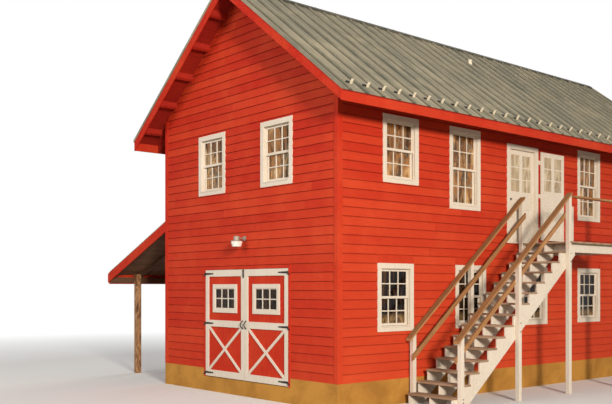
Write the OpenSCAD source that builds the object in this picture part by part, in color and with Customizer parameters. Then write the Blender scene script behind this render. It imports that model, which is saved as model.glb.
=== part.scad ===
// A two-storey red gable barn with double barn doors, an outside stair to an upper door
// on the right, and an open lean-to on the left.
// X runs to the right along the front, Y runs back, Z is up. The origin is on the lowest
// ground, under the middle of the front wall, 20 mm behind the foundation's face.

/* [Barn body] */
// Width over the side walls
barn_w = 5780; // [5400:10:6600]
// Length over the front and rear walls
barn_l = 12460; // [12000:10:14500]
// Thickness of the walls without their siding
wall_t = 130; // [100:5:170]
// Height of the foundation above the lowest ground
found_h = 480; // [440:10:600]
// Thickness of the foundation wall
found_t = 200; // [160:10:280]
// How far the foundation stands proud of the walls
found_proud = 20; // [10:5:40]
// Top of the ground floor slab
floor_z = 340; // [300:10:400]
// Thickness of the ground floor slab
slab_t = 100; // [80:10:150]
// Thickness of the upper floor's boards
deck_board_t = 25; // [20:1:40]
// Depth of the upper floor's joists
joist_h = 200; // [160:5:240]
// Width of the upper floor's joists
joist_w = 50; // [40:1:70]
// Spacing of the upper floor's joists
joist_step = 610; // [500:10:900]
// Width of the corner boards
corner_w = 90; // [70:5:120]
// Thickness of the boards that trim corners, windows and eaves
trim_t = 25; // [20:1:30]

/* [Roof] */
// Height of the side walls above the upper floor
upper_wall_h = 2724; // [2600:4:3000]
// Slope of the roof in degrees
roof_pitch = 37.8; // [36:0.1:40]
// Overhang of the roof beyond the side walls
eave_out = 630; // [500:10:700]
// Overhang of the roof beyond the front and rear walls
rake_out = 500; // [350:10:600]
// Thickness of the metal roofing with its battens
metal_t = 14; // [8:1:25]
// Thickness of the roof boards
roof_board_t = 25; // [18:1:30]
// Depth of the rafters
rafter_h = 140; // [120:5:180]
// Width of the rafters
rafter_w = 50; // [40:1:70]
// Number of rafters on each slope
rafter_count = 13; // [9:1:17]
// How deep the rafters are notched over the side walls
seat_cut = 60; // [40:5:80]
// Depth of the rake boards, across the slope
rake_h = 160; // [150:5:190]
// Depth of the eave boards
fascia_h = 184; // [160:2:220]
// How far the metal hangs past the rake and eave boards
drip = 12; // [5:1:30]
// Distance of the first lookout from the ridge, down the slope
lookout_first = 620; // [400:10:800]
// Spacing of the lookouts down the slope
lookout_step = 830; // [600:10:1000]
// Depth of the lookouts
lookout_h = 89; // [60:1:110]
// Width of the ridge cap on each slope
cap_w = 150; // [100:5:220]

/* [Windows] */
// Width of a window over its casing
window_w = 985; // [900:5:1100]
// Height of a common window over its casing
window_h = 1280; // [1150:5:1350]
// Height of the tall upper windows over their casing
tall_window_h = 1660; // [1500:5:1700]
// Width of the casing boards
casing_w = 90; // [70:1:110]
// How far a casing laps over the edge of its hole
casing_lap = 15; // [10:1:25]
// Thickness of the jamb lining in a hole
lining_t = 28; // [20:1:35]
// Width of the sash stiles and rails
sash_w = 48; // [35:1:60]
// Thickness of a sash
sash_t = 35; // [28:1:40]
// Depth of the upper sash behind the wall face
sash_back = 35; // [20:1:45]
// Thickness of the glass
glass_t = 6; // [4:1:10]
// Top of the ground floor windows
low_window_top = 2655; // [2600:5:2700]
// Top of the upper floor windows below the walls' top
window_drop = 437; // [400:1:520]
// Middle of the first ground floor side window, from the front
side_window_y = 1470; // [1300:10:1700]
// Spacing of the side windows
side_window_step = 2235; // [2100:5:2260]
// Middle of the first upper side window, from the front
upper_window_y = 1612; // [1400:4:1700]
// Middle of the tall upper side window, from the front
tall_window_y = 3520; // [3400:10:3600]
// Distance between the two windows of a gable
gable_window_gap = 2190; // [2000:10:2600]
// How far the front windows stand right of the middle
front_window_x = 55; // [0:5:80]

/* [Barn doors] */
// Width of one door leaf
leaf_w = 1385; // [1300:1:1430]
// Height of the door leaves
leaf_h = 2246; // [2150:2:2300]
// Lower edge of the door leaves above the lowest ground
leaf_z = 320; // [315:5:330]
// How far the doorway's middle stands right of the front wall's middle
door_x = 130; // [80:5:160]
// Thickness of the board panel of a leaf
leaf_t = 22; // [18:1:26]
// Thickness of the white frame boards on a leaf
stile_t = 24; // [18:1:30]
// Width of the upright frame boards
stile_w = 112; // [100:1:125]
// Width of the level frame boards
rail_w = 138; // [120:1:150]
// Height of the middle rail above the leaf's lower edge
lock_rail_z = 1055; // [1000:5:1100]
// Width of the crossed braces
brace_w = 56; // [46:1:70]
// Gap between a door window's casing and the stiles
pane_side = 150; // [120:1:170]
// Gap between a door window's casing and the rails
pane_gap = 160; // [140:1:180]
// Width of a door window's casing
pane_casing = 88; // [75:1:100]
// Gap between the two leaves
seam = 8; // [7:1:12]
// Gap between a leaf and its frame
leaf_gap = 5; // [5:1:8]
// Width of the doorway's timber frame
jamb_w = 60; // [50:1:90]
// How far the hinge pin's axis stands off the wall face
pin_out = 38; // [37:0.5:44]
// Radius of the hinge pins
pin_r = 6; // [5:0.5:7]
// Clearance round the hinge pins
pin_play = 0.1; // [0.05:0.01:0.3]
// Radius of the hinge eyes
eye_r = 10; // [9:0.5:10]
// Height of the hinge straps
strap_h = 45; // [35:1:60]
// Distance of the end hinges from the leaf's ends
hinge_end = 76; // [60:1:120]
// Length of the hinge straps
strap_l = 300; // [240:5:360]
// Thickness of the straps and pintle plates
strap_t = 6; // [4:0.5:7]
// Height of the barn lamp's lens above the doorway's frame
lamp_up = 386; // [330:1:440]
// How far the barn lamp's middle stands out from the wall
lamp_out = 214; // [190:1:250]
// Width of the barn lamp's rim
lamp_d = 240; // [210:2:270]
// Depth of the barn lamp's lens
lamp_lens_h = 108; // [90:1:125]
// Width of the barn lamp's cap
lamp_cap_d = 120; // [100:2:140]
// Height of the barn lamp's cap
lamp_cap_h = 80; // [65:1:95]

/* [Upper door] */
// Middle of the upper door, from the front
upper_door_y = 5503; // [5480:1:5520]
// Width of the upper door over its casing
upper_door_w = 1146; // [1000:2:1180]
// Height of the upper door over its casing
upper_door_h = 2150; // [2100:5:2200]
// Width of the storm door that stands open beside it
storm_w = 900; // [800:5:920]
// Gap under the storm door
storm_gap = 95; // [40:5:120]
// Distance from the storm door's edge to the upper door's casing
storm_side = 60; // [30:2:90]
// Thickness of the storm door
storm_t = 32; // [25:1:40]

/* [Stair and landing] */
// Number of risers up to the landing
risers = 15; // [14:1:16]
// Height of one riser
rise = 210.5; // [205:0.5:213]
// Going of one step
run = 262.4; // [250:0.2:270]
// Front of the first riser, from the front wall
stair_y = 1668; // [1500:4:1700]
// Clear width between the newel posts
stair_w = 1065; // [950:5:1150]
// Thickness of treads and landing boards
tread_t = 38; // [30:1:40]
// How far a tread's nosing stands out
nosing = 25; // [15:1:35]
// Thickness of a stringer
stringer_t = 38; // [35:1:50]
// Depth of a stringer, straight down
stringer_h = 490; // [470:5:520]
// Width of the newel posts
newel = 89; // [80:1:100]
// Gap between the wall and the newel posts
newel_in = 60; // [50:1:80]
// Spacing of the newel posts along the stair
newel_step = 1740; // [1700:5:1760]
// First newel posts, from the front wall
newel_y = 1850; // [1830:5:1880]
// Height of the top rail above the nosings
rail_up = 915; // [860:5:960]
// Height of the middle rail above the nosings
mid_rail_up = 500; // [400:5:560]
// Width of the top rail
top_rail_w = 130; // [110:1:150]
// Height of the rail boards
rail_h = 89; // [80:1:100]
// Thickness of the rail boards
rail_t = 38; // [30:1:45]
// How far the stringers run on under the landing
stringer_lap = 300; // [200:10:400]
// Length of the landing
landing_l = 1960; // [1800:10:2200]
// Depth of the landing's frame
landing_h = 184; // [160:2:200]
// Width of a landing board
landing_board = 136; // [120:1:150]
// Gap between landing boards
board_gap = 4; // [3:1:8]

/* [Lean-to] */
// Reach of the lean-to roof from the left wall
lean_w = 2800; // [2700:10:2900]
// Length of the lean-to
lean_l = 4200; // [3800:10:4600]
// Height of the lean-to roof at the wall
lean_top = 3710; // [3650:5:3760]
// Slope of the lean-to roof in degrees
lean_pitch = 22.6; // [21.6:0.2:23.6]
// Thickness of the lean-to roof
lean_roof_t = 36; // [25:1:45]
// Depth of the lean-to rafters
lean_rafter_h = 89; // [80:1:110]
// Number of lean-to rafters
lean_rafters = 6; // [5:1:8]
// Outer face of the lean-to beam from the edge of its roof
lean_beam_in = 72; // [60:1:90]
// Thickness of the lean-to beam
lean_beam_t = 38; // [30:1:50]
// Depth of the lean-to beam
lean_beam_h = 140; // [120:2:180]
// Width of the lean-to posts
lean_post = 140; // [120:1:160]
// First and last posts, in from the ends of the lean-to
lean_post_in = 660; // [600:5:700]
// Number of lean-to posts
lean_posts = 3; // [2:1:4]
// Depth of the lean-to's eave board below the roof's edge
lean_drop = 255; // [235:1:275]
// Depth of the lean-to's rake boards, across the slope
lean_rake_h = 206; // [180:2:220]

/* [Hidden] */

red = "firebrick";
white = "white";
bare = "tan";
iron = "dimgray";
$fn = 48;
cut = 1;

// Roof planes: heights over a place x from the middle, and depths below the metal's top
half_w = barn_w / 2;
slope = tan(roof_pitch);
lean = cos(roof_pitch);
landing_z = risers * rise;
plate_z = landing_z + upper_wall_h;
tip_x = half_w + eave_out;
lay = 0.3;
metal_down = metal_t / lean;
under_metal = metal_down + lay;
boards_down = (metal_t + roof_board_t) / lean;
under_boards = boards_down + lay;
rafters_down = (metal_t + roof_board_t + rafter_h) / lean;
ridge_z = plate_z + slope * half_w + rafters_down - seat_cut;
tail_x = tip_x - drip - trim_t;
ridge_slot = 10;
ridge_board_w = 30;
joint = 2;
function roof_z(x) = ridge_z - slope * abs(x);
fascia_z = roof_z(tail_x) - under_boards - fascia_h;

// Window holes
hole_w = window_w - 2 * (casing_w - casing_lap);
high_window_top = plate_z - window_drop;
function hole_h(h) = h - 2 * (casing_w - casing_lap);
side_ys = [for (i = [0:4]) side_window_y + i * side_window_step];
front_xs = [for (s = [-1, 1]) front_window_x + s * gable_window_gap / 2];
rear_xs = [for (s = [-1, 1]) s * gable_window_gap / 2];
// Each window: wall, place along the wall, top, height
windows = concat(
    [for (x = front_xs) ["front", x, high_window_top, window_h]],
    [for (x = rear_xs, top = [low_window_top, high_window_top]) ["rear", x, top, window_h]],
    [for (y = side_ys) ["right", y, low_window_top, window_h]],
    [["right", upper_window_y, high_window_top, window_h],
     ["right", tall_window_y, high_window_top, tall_window_h]],
    [for (i = [3, 4]) ["right", side_ys[i], high_window_top, tall_window_h]],
    [for (i = [2:4]) ["left", side_ys[i], low_window_top, window_h]],
    [for (i = [0:4]) ["left", side_ys[i], high_window_top, window_h]]);

// Doorway
sill_z = leaf_z - 15;
door_half = leaf_w + seam / 2 + leaf_gap;
door_head = leaf_z + leaf_h + leaf_gap;
frame_half = door_half + jamb_w;
frame_top = door_head + jamb_w;
leaf_face = -stile_t;
lamp_z = frame_top + lamp_up;
pane_w = leaf_w - 2 * (stile_w + pane_side);
pane_h = leaf_h - lock_rail_z - 2 * (rail_w + pane_gap);
pane_z = leaf_h - rail_w - pane_gap - pane_h / 2;
pane_inset = pane_casing - lining_t;
hinge_zs = [leaf_z + hinge_end, leaf_z + lock_rail_z + rail_w / 2, leaf_z + leaf_h - hinge_end];

// Stair
landing_y = stair_y + (risers - 1) * run;
stair_x = half_w + newel_in + newel;
stair_out = stair_x + stair_w;
inner_newel_x = stair_x - newel / 2;
outer_newel_x = stair_out + newel / 2;
pitch_z = rise / run;
function nosing_z(y) = rise + pitch_z * (y - stair_y + nosing);
newel_ys = [for (i = [0:2]) newel_y + i * newel_step];
newel_foot_z = landing_z - tread_t - landing_h;
landing_end = landing_y + landing_l;
stringer_end = landing_y + stringer_lap;
upper_hole_w = upper_door_w - 2 * (casing_w - casing_lap);
upper_hole_h = upper_door_h - casing_w + casing_lap;

// Lean-to: u is the distance out from the left wall
lean_slope = tan(lean_pitch);
lean_cos = cos(lean_pitch);
lean_roof_down = lean_roof_t / lean_cos;
under_lean = lean_roof_down + lay;
lean_rafter_down = (lean_roof_t + lean_rafter_h) / lean_cos;
lean_tail = lean_w - drip - trim_t;
ledger_t = 38;
lean_seat = 20;
lean_beam_u = lean_w - lean_beam_in;
lean_post_u = lean_beam_u - lean_beam_t;
function lean_z(u) = lean_top - lean_slope * u;
lean_low = lean_z(lean_w) - lean_drop;
lean_beam_top = lean_z(lean_beam_u) - lean_rafter_down + lean_seat;
lean_post_top = lean_z(lean_post_u) - under_lean;

// A slab from one corner to the opposite one
module block(low, high) {
    translate(low) cube(high - low);
}

// An outline drawn in x and z, run along y from one place to another
module along_y(from, to) {
    translate([0, to, 0]) rotate([90, 0, 0]) linear_extrude(to - from) children();
}

// An outline drawn in y and z, run along x from one place to another
module along_x(from, to) {
    translate([from, 0, 0]) rotate([90, 0, 90]) linear_extrude(to - from) children();
}

// Moves a piece drawn for the front wall (x along it, y into it) to the named wall
module on_wall(wall) {
    if (wall == "front") children();
    if (wall == "rear") translate([0, barn_l, 0]) rotate([0, 0, 180]) children();
    if (wall == "right") translate([half_w, 0, 0]) rotate([0, 0, 90]) children();
    if (wall == "left") translate([-half_w, 0, 0]) mirror([1, 0, 0]) rotate([0, 0, 90]) children();
}

module window_places(wall = "") {
    for (w = windows)
        if (wall == "" || wall == w[0])
            on_wall(w[0]) translate([w[1], 0, w[2] - w[3] / 2])
                window_part(w[3]) children();
}

// Passes a window's height on to the piece that is drawn at its middle
module window_part(h) {
    $window_h = h;
    children();
}

module window_hole() {
    h = hole_h($window_h);
    block([-hole_w / 2, -cut, -h / 2], [hole_w / 2, wall_t + cut, h / 2]);
}

// Part of a gable wall under the roof boards, from one height up
module gable_outline(from_z, half = half_w) {
    polygon([[-half, from_z], [half, from_z], [half, roof_z(half) - under_boards],
        [0, ridge_z - under_boards], [-half, roof_z(half) - under_boards]]);
}

// A strip of the roof on one slope, between two distances from the ridge and two depths
module roof_strip(x0, x1, down0, down1, side) {
    polygon([[side * x0, roof_z(x0) - down0], [side * x1, roof_z(x1) - down0],
        [side * x1, roof_z(x1) - down1], [side * x0, roof_z(x0) - down1]]);
}

module foundation() {
    out = half_w + found_proud;
    inner = out - found_t;
    ledge = 60;
    color("tan") difference() {
        block([-out, -found_proud, 0], [out, barn_l + found_proud, found_h]);
        block([-inner, found_t - found_proud, floor_z - slab_t],
            [inner, barn_l - found_t + found_proud, found_h + cut]);
        block([-inner + ledge, found_t - found_proud + ledge, -cut],
            [inner - ledge, barn_l - found_t + found_proud - ledge, floor_z]);
        block([door_x - frame_half, -found_proud - cut, sill_z],
            [door_x + frame_half, found_t, found_h + cut]);
    }
}

module floor_slab() {
    inner = half_w + found_proud - found_t;
    color("silver") block([-inner, found_t - found_proud, floor_z - slab_t],
        [inner, barn_l - found_t + found_proud, floor_z]);
}

module upper_floor_boards() {
    inner = half_w - wall_t;
    color(bare) block([-inner, wall_t, landing_z - deck_board_t],
        [inner, barn_l - wall_t, landing_z]);
}

module upper_floor_joists() {
    inner = half_w - wall_t;
    room = barn_l - 2 * wall_t - joist_w;
    count = floor(room / joist_step);
    color(bare) for (i = [0:count])
        translate([0, wall_t + i * room / count, landing_z - deck_board_t - joist_h])
            block([-inner, 0, 0], [inner, joist_w, joist_h]);
}

module front_wall_left() {
    color(red) block([-half_w, 0, found_h], [door_x - frame_half, wall_t, frame_top]);
}

module front_wall_right() {
    color(red) block([door_x + frame_half, 0, found_h], [half_w, wall_t, frame_top]);
}

module front_gable_wall() {
    color(red) difference() {
        along_y(0, wall_t) gable_outline(frame_top);
        window_places("front") window_hole();
    }
}

module rear_wall() {
    color(red) difference() {
        along_y(barn_l - wall_t, barn_l) gable_outline(found_h);
        window_places("rear") window_hole();
    }
}

module side_wall() {
    block([half_w - wall_t, wall_t, found_h], [half_w, barn_l - wall_t, plate_z]);
}

module right_wall() {
    color(red) difference() {
        side_wall();
        window_places("right") window_hole();
        block([half_w - wall_t - cut, upper_door_y - upper_hole_w / 2, landing_z],
            [half_w + cut, upper_door_y + upper_hole_w / 2, landing_z + upper_hole_h]);
    }
}

module left_wall() {
    color(red) difference() {
        mirror([1, 0, 0]) side_wall();
        window_places("left") window_hole();
    }
}

module corner_boards() {
    top = roof_z(half_w + trim_t) - under_boards;
    color(red) difference() {
        for (side = [-1, 1], end = [0, 1])
            translate([0, end * barn_l, 0]) mirror([side < 0 ? 1 : 0, 0, 0])
                mirror([0, end, 0]) difference() {
                    block([half_w - corner_w, -trim_t, found_h], [half_w + trim_t, corner_w, top]);
                    block([half_w - corner_w - cut, 0, found_h - cut], [half_w, corner_w + cut, top + cut]);
                }
        // The roof of the lean-to and its ledger pass behind the corner's front board
        lean_place() along_y(0, lean_l) lean_strip(0, corner_w, -lay, lean_rafter_down + lean_seat + lay);
    }
}

// Boards round the windows and the upper doorway, with their linings through the wall
module casings() {
    color(white) {
        window_places() window_casing();
        upper_place() upper_door_casing();
    }
}

module window_casing() {
    difference() {
        union() {
            block([-window_w / 2, -trim_t, -$window_h / 2], [window_w / 2, 0, $window_h / 2]);
            block([-hole_w / 2, -cut, -hole_h($window_h) / 2], [hole_w / 2, wall_t, hole_h($window_h) / 2]);
        }
        block([-hole_w / 2 + lining_t, -trim_t - cut, -hole_h($window_h) / 2 + lining_t],
            [hole_w / 2 - lining_t, wall_t + cut, hole_h($window_h) / 2 - lining_t]);
    }
}

// The two sashes slide past each other, the upper one outside
module sash_pair() {
    h = hole_h($window_h) / 2 - lining_t;
    for (upper = [0, 1])
        translate([0, sash_back + (1 - upper) * (sash_t + joint), (upper - 1 / 2) * (h - sash_w / 2)])
            children();
}

module window_sashes() {
    w = hole_w / 2 - lining_t;
    color(white) window_places() {
        h = hole_h($window_h) / 2 - lining_t + sash_w / 2;
        sash_pair() difference() {
            block([-w, 0, -h / 2], [w, sash_t, h / 2]);
            block([-w + sash_w, -cut, -h / 2 + sash_w], [w - sash_w, sash_t + cut, h / 2 - sash_w]);
        }
    }
}

module window_glass() {
    w = hole_w / 2 - lining_t - sash_w;
    color("lightblue") window_places() {
        h = hole_h($window_h) / 2 - lining_t - 1.5 * sash_w;
        sash_pair() block([-w, (sash_t - glass_t) / 2, -h / 2], [w, (sash_t + glass_t) / 2, h / 2]);
    }
}

module rafters() {
    room = barn_l - 2 * wall_t - rafter_w;
    color(bare) for (side = [-1, 1], i = [0:rafter_count - 1])
        translate([0, wall_t + i * room / (rafter_count - 1), 0]) difference() {
            along_y(0, rafter_w)
                roof_strip(ridge_board_w / 2, tail_x, under_boards, rafters_down, side);
            mirror([side < 0 ? 1 : 0, 0, 0])
                block([half_w - 2 * wall_t, -cut, plate_z - wall_t * 2], [half_w, rafter_w + cut, plate_z]);
        }
}

module ridge_board() {
    top = roof_z(ridge_board_w / 2) - under_boards;
    color(bare) block([-ridge_board_w / 2, wall_t, top - rafters_down],
        [ridge_board_w / 2, barn_l - wall_t, top]);
}

module roof_boards() {
    end = rake_out - drip - trim_t;
    color(bare) for (side = [-1, 1]) along_y(-end, barn_l + end)
        roof_strip(ridge_slot, tip_x - drip, under_metal, boards_down, side);
}

module roof_metal() {
    color("slategray") for (side = [-1, 1]) along_y(-rake_out, barn_l + rake_out)
        roof_strip(ridge_slot, tip_x, 0, metal_down, side);
}

module ridge_cap() {
    reach = cap_w * lean;
    top = lay + 6 / lean;
    color("slategray") along_y(-rake_out, barn_l + rake_out)
        polygon([[-reach, roof_z(reach) + lay], [0, ridge_z + lay], [reach, roof_z(reach) + lay],
            [reach, roof_z(reach) + top], [0, ridge_z + top], [-reach, roof_z(reach) + top]]);
}

module rake_boards() {
    down = (metal_t + rake_h) / lean;
    end = rake_out - drip;
    color(red) for (side = [-1, 1], y = [-end, barn_l + end - trim_t]) along_y(y, y + trim_t)
        roof_strip(joint / 2, tip_x - drip, under_metal, down, side);
}

module eave_boards() {
    end = rake_out - drip - trim_t - joint;
    color(red) for (side = [-1, 1]) along_y(-end, barn_l + end)
        polygon([[side * tail_x, fascia_z], [side * (tail_x + trim_t), fascia_z],
            [side * (tail_x + trim_t), roof_z(tail_x + trim_t) - under_boards],
            [side * tail_x, roof_z(tail_x) - under_boards]]);
}

module lookouts() {
    reach = rake_out - drip - trim_t;
    down = under_boards + lookout_h / lean;
    count = floor((tip_x / lean - lookout_first) / lookout_step);
    color(red) for (side = [-1, 1], i = [0:count], y = [-reach, barn_l]) {
        x = (lookout_first + i * lookout_step) * lean;
        along_y(y, y + reach) roof_strip(x - rafter_w / 2, x + rafter_w / 2, under_boards, down, side);
    }
}

module doorway_frame() {
    color(red) translate([door_x, 0, 0]) difference() {
        block([-frame_half, -trim_t, sill_z], [frame_half, wall_t, frame_top]);
        block([-door_half, -trim_t - cut, sill_z - cut], [door_half, wall_t + cut, door_head]);
    }
}

// Places a piece drawn for the left leaf, whose hinge edge is at x = 0
module leaf_place(side) {
    translate([door_x, 0, leaf_z]) mirror([side < 0 ? 0 : 1, 0, 0])
        translate([-leaf_w - seam / 2, 0, 0]) children();
}

module pane_hole(inset) {
    w = pane_w / 2 - inset;
    translate([leaf_w / 2, 0, pane_z])
        block([-w, leaf_face - strap_t - cut, -pane_h / 2 + inset], [w, leaf_t + cut, pane_h / 2 - inset]);
}

module leaf_panel(side) {
    color(red) leaf_place(side) difference() {
        block([0, 0, 0], [leaf_w, leaf_t, leaf_h]);
        pane_hole(pane_inset);
    }
}

// Stiles, rails and crossed braces on the outside of a leaf
module leaf_frame(side) {
    low = rail_w;
    high = lock_rail_z;
    inner = leaf_w - 2 * stile_w;
    angle = atan((high - low) / inner);
    color(white) leaf_place(side) translate([0, leaf_face, 0]) {
        difference() {
            block([0, 0, 0], [leaf_w, stile_t, leaf_h]);
            block([stile_w, -cut, low], [leaf_w - stile_w, stile_t + cut, high]);
            block([stile_w, -cut, high + rail_w], [leaf_w - stile_w, stile_t + cut, leaf_h - rail_w]);
        }
        intersection() {
            block([stile_w - cut, 0, low - cut], [leaf_w - stile_w + cut, stile_t, high + cut]);
            translate([leaf_w / 2, 0, (low + high) / 2]) for (turn = [angle, -angle])
                rotate([0, turn, 0]) block([-leaf_w, 0, -brace_w / 2], [leaf_w, stile_t, brace_w / 2]);
        }
    }
}

// Casing of a leaf's window, clear of the stiles and rails
module leaf_window(side) {
    color(white) leaf_place(side) difference() {
        translate([leaf_w / 2, 0, pane_z]) union() {
            block([-pane_w / 2, leaf_face, -pane_h / 2], [pane_w / 2, 0, pane_h / 2]);
            block([-pane_w / 2 + pane_inset, -cut, -pane_h / 2 + pane_inset],
                [pane_w / 2 - pane_inset, leaf_t, pane_h / 2 - pane_inset]);
        }
        pane_hole(pane_casing);
    }
}

module leaf_woodwork(side) {
    leaf_frame(side);
    leaf_window(side);
}

module leaf_glass(side) {
    w = pane_w / 2 - pane_casing;
    h = pane_h / 2 - pane_casing;
    color("lightblue") leaf_place(side) translate([leaf_w / 2, 0, pane_z])
        block([-w, 0, -h], [w, glass_t, h]);
}

// Three strap hinges with their eyes, and a pull
module leaf_ironwork(side) {
    face = leaf_face;
    color(iron) leaf_place(side) {
        for (z = hinge_zs) translate([-leaf_gap, -pin_out, z - leaf_z]) difference() {
            union() {
                cylinder(h = strap_h, r = eye_r, center = true);
                block([0, pin_out + face - strap_t, -strap_h / 2], [strap_l, pin_out + face, strap_h / 2]);
            }
            cylinder(h = strap_h + 2 * cut, r = pin_r + pin_play, center = true);
        }
        translate([leaf_w - stile_w / 2, face, lock_rail_z + rail_w / 2]) {
            block([-12, -strap_t, -95], [12, 0, 95]);
            for (z = [-75, 75]) translate([0, 0, z]) rotate([90, 0, 0]) cylinder(h = 45, r = 7);
            translate([0, -45, 0]) cylinder(h = 164, r = 7, center = true);
        }
    }
}

module left_door_panel() leaf_panel(-1);
module left_door_frame() leaf_woodwork(-1);
module left_door_glass() leaf_glass(-1);
module left_door_ironwork() leaf_ironwork(-1);
module right_door_panel() leaf_panel(1);
module right_door_frame() leaf_woodwork(1);
module right_door_glass() leaf_glass(1);
module right_door_ironwork() leaf_ironwork(1);

// Pins that the strap hinges turn on, each with its arm and plate on the frame
module door_pintles() {
    plate = jamb_w - 8;
    arm_h = 20;
    color(iron) for (side = [-1, 1], z = hinge_zs) leaf_place(side)
        translate([-leaf_gap, -pin_out, z - leaf_z - strap_h / 2 - joint]) {
            translate([0, 0, -arm_h]) cylinder(h = strap_h + arm_h + 2 * joint, r = pin_r);
            block([-plate, pin_out - trim_t - strap_t, -arm_h], [-2, pin_out - trim_t, 0]);
            block([-plate, -pin_r, -arm_h], [0, pin_out - trim_t, 0]);
        }
}

// A round head with a tapered lens under its rim, on an arm from a wall plate over the doors
module barn_lamp() {
    rim = lamp_d / 2;
    foot = rim * 0.7;
    cap = lamp_cap_d / 2;
    edge = 8;
    neck = lamp_lens_h + 3 * edge;
    arm_z = neck + lamp_cap_h / 2;
    color(white) translate([door_x, 0, lamp_z]) {
        translate([0, -lamp_out, 0]) rotate_extrude()
            polygon([[0, 0], [foot - edge, 0], [foot, edge], [rim - edge, lamp_lens_h], [rim, lamp_lens_h],
                [rim, lamp_lens_h + edge], [cap, neck], [cap, neck + lamp_cap_h - edge],
                [cap - edge, neck + lamp_cap_h], [0, neck + lamp_cap_h]]);
        translate([0, 0, arm_z]) rotate([90, 0, 0]) {
            cylinder(h = lamp_out, r = 14);
            cylinder(h = trim_t, r = 50);
        }
    }
}

// A leaf or casing of the upper doorway, drawn with x along the wall and z from the landing
module upper_place() {
    on_wall("right") translate([upper_door_y, 0, landing_z]) children();
}

module upper_door_casing() {
    w = upper_door_w / 2;
    hole = upper_hole_w / 2;
    difference() {
        union() {
            block([-w, -trim_t, 0], [w, 0, upper_door_h]);
            block([-hole, -cut, 0], [hole, wall_t, upper_hole_h]);
        }
        block([-hole + lining_t, -trim_t - cut, lining_t],
            [hole - lining_t, wall_t + cut, upper_hole_h - lining_t]);
    }
}

// A glazed leaf: two panes over two raised fields
module glazed_leaf(w, h, t) {
    rail = 110;
    kick = h * 0.36;
    difference() {
        block([-w / 2, 0, 0], [w / 2, t, h]);
        for (s = [-1, 1]) {
            translate([s * (w - rail) / 4, 0, 0])
                block([-(w - 3 * rail) / 4, -cut, rail * 1.5], [(w - 3 * rail) / 4, 8, kick]);
            translate([s * (w - rail) / 4, 0, 0])
                block([-(w - 3 * rail) / 4, -cut, kick + rail], [(w - 3 * rail) / 4, 8, h - rail]);
        }
    }
}

module upper_door() {
    w = upper_hole_w - 2 * lining_t;
    h = upper_hole_h - 2 * lining_t;
    color(white) upper_place() translate([0, sash_back, lining_t]) glazed_leaf(w, h, 45);
}

// The storm door stands folded back against the wall on its hinges
module storm_door() {
    side = upper_door_w / 2;
    edge = side + storm_side;
    h = upper_hole_h - storm_gap;
    face = -trim_t - strap_t;
    color(white) upper_place() {
        translate([edge + storm_w / 2, face - storm_t, storm_gap]) glazed_leaf(storm_w, h, storm_t);
        for (z = [0.12, 0.5, 0.88]) block([side - casing_w / 2, face, storm_gap + z * h - strap_h],
            [edge + stile_w / 2, face + strap_t, storm_gap + z * h + strap_h]);
    }
}

// Saw-tooth board under the treads, lapping under the landing at its top
module stringer_outline() {
    bottom_y = stair_y + stringer_h / pitch_z - (rise - tread_t) / pitch_z;
    end_low = landing_z - tread_t - stringer_h + pitch_z * (stringer_end - landing_y) + rise;
    polygon(concat([[stair_y, 0]],
        [for (n = [1:risers], corner = [0, 1])
            [corner == 0 ? stair_y + (n - 1) * run : (n < risers ? stair_y + n * run : stringer_end),
             n * rise - tread_t]],
        [[stringer_end, end_low - rise], [bottom_y, 0]]));
}

module stair_stringers() {
    xs = [stair_x, (stair_x + stair_out - stringer_t) / 2, stair_out - stringer_t];
    color(white) for (x = xs) along_x(x, x + stringer_t) stringer_outline();
}

module stair_and_landing_boards() {
    color(bare) {
        treads();
        landing_boards();
    }
}

module treads() {
    for (n = [1:risers - 1])
        block([stair_x, stair_y + (n - 1) * run - nosing, n * rise - tread_t],
            [stair_out, stair_y + n * run - joint, n * rise]);
}

module newel(x, y, low, top) {
    block([x - newel / 2, y - newel / 2, low], [x + newel / 2, y + newel / 2, top]);
}

// All the outer posts and the first two inner ones reach the ground, the others hang on the framing
module newel_posts() {
    color(white) {
        for (i = [0:2], x = [inner_newel_x, outer_newel_x]) difference() {
            newel(x, newel_ys[i], i < 2 || x == outer_newel_x ? 0 : newel_foot_z,
                nosing_z(newel_ys[i]) + rail_up + newel);
            rail_space(x);
        }
        newel(outer_newel_x, landing_end - newel / 2, 0, landing_z + rail_up);
        newel(inner_newel_x, landing_end - newel / 2, newel_foot_z, landing_z + rail_up);
    }
}

// Everything above the underside of the sloping top rail
module rail_space(x) {
    y0 = stair_y - newel;
    y1 = landing_end;
    along_x(x - newel, x + newel) polygon([[y0, nosing_z(y0) + rail_up], [y1, nosing_z(y1) + rail_up],
        [y1, nosing_z(y1) + 2 * rail_up], [y0, nosing_z(y0) + 2 * rail_up]]);
}

rail_down = rail_t * sqrt(1 + pitch_z * pitch_z);
rail_low_y = newel_y - newel / 2 - 90;
rail_high_y = newel_ys[2] + newel / 2;

// A board that follows the stair's slope
module sloped_board(x0, x1, y0, y1, up, depth) {
    along_x(x0, x1) polygon([[y0, nosing_z(y0) + up], [y1, nosing_z(y1) + up],
        [y1, nosing_z(y1) + up + depth], [y0, nosing_z(y0) + up + depth]]);
}

module stair_rails() {
    color("peru") {
        top_rails();
        middle_rails();
    }
}

module top_rails() {
    for (x = [inner_newel_x, outer_newel_x])
        sloped_board(x - top_rail_w / 2, x + top_rail_w / 2, rail_low_y, rail_high_y, rail_up + lay,
            rail_down);
    block([outer_newel_x - top_rail_w / 2, rail_high_y + 120, landing_z + rail_up],
        [outer_newel_x + top_rail_w / 2, landing_end + 20, landing_z + rail_up + rail_t]);
}

module middle_rails() {
    depth = rail_h * sqrt(1 + pitch_z * pitch_z);
    for (x = [stair_x, stair_out - rail_t])
        sloped_board(x, x + rail_t, newel_y - newel / 2 - 30, newel_ys[2] + newel / 2, mid_rail_up, depth);
}

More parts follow.
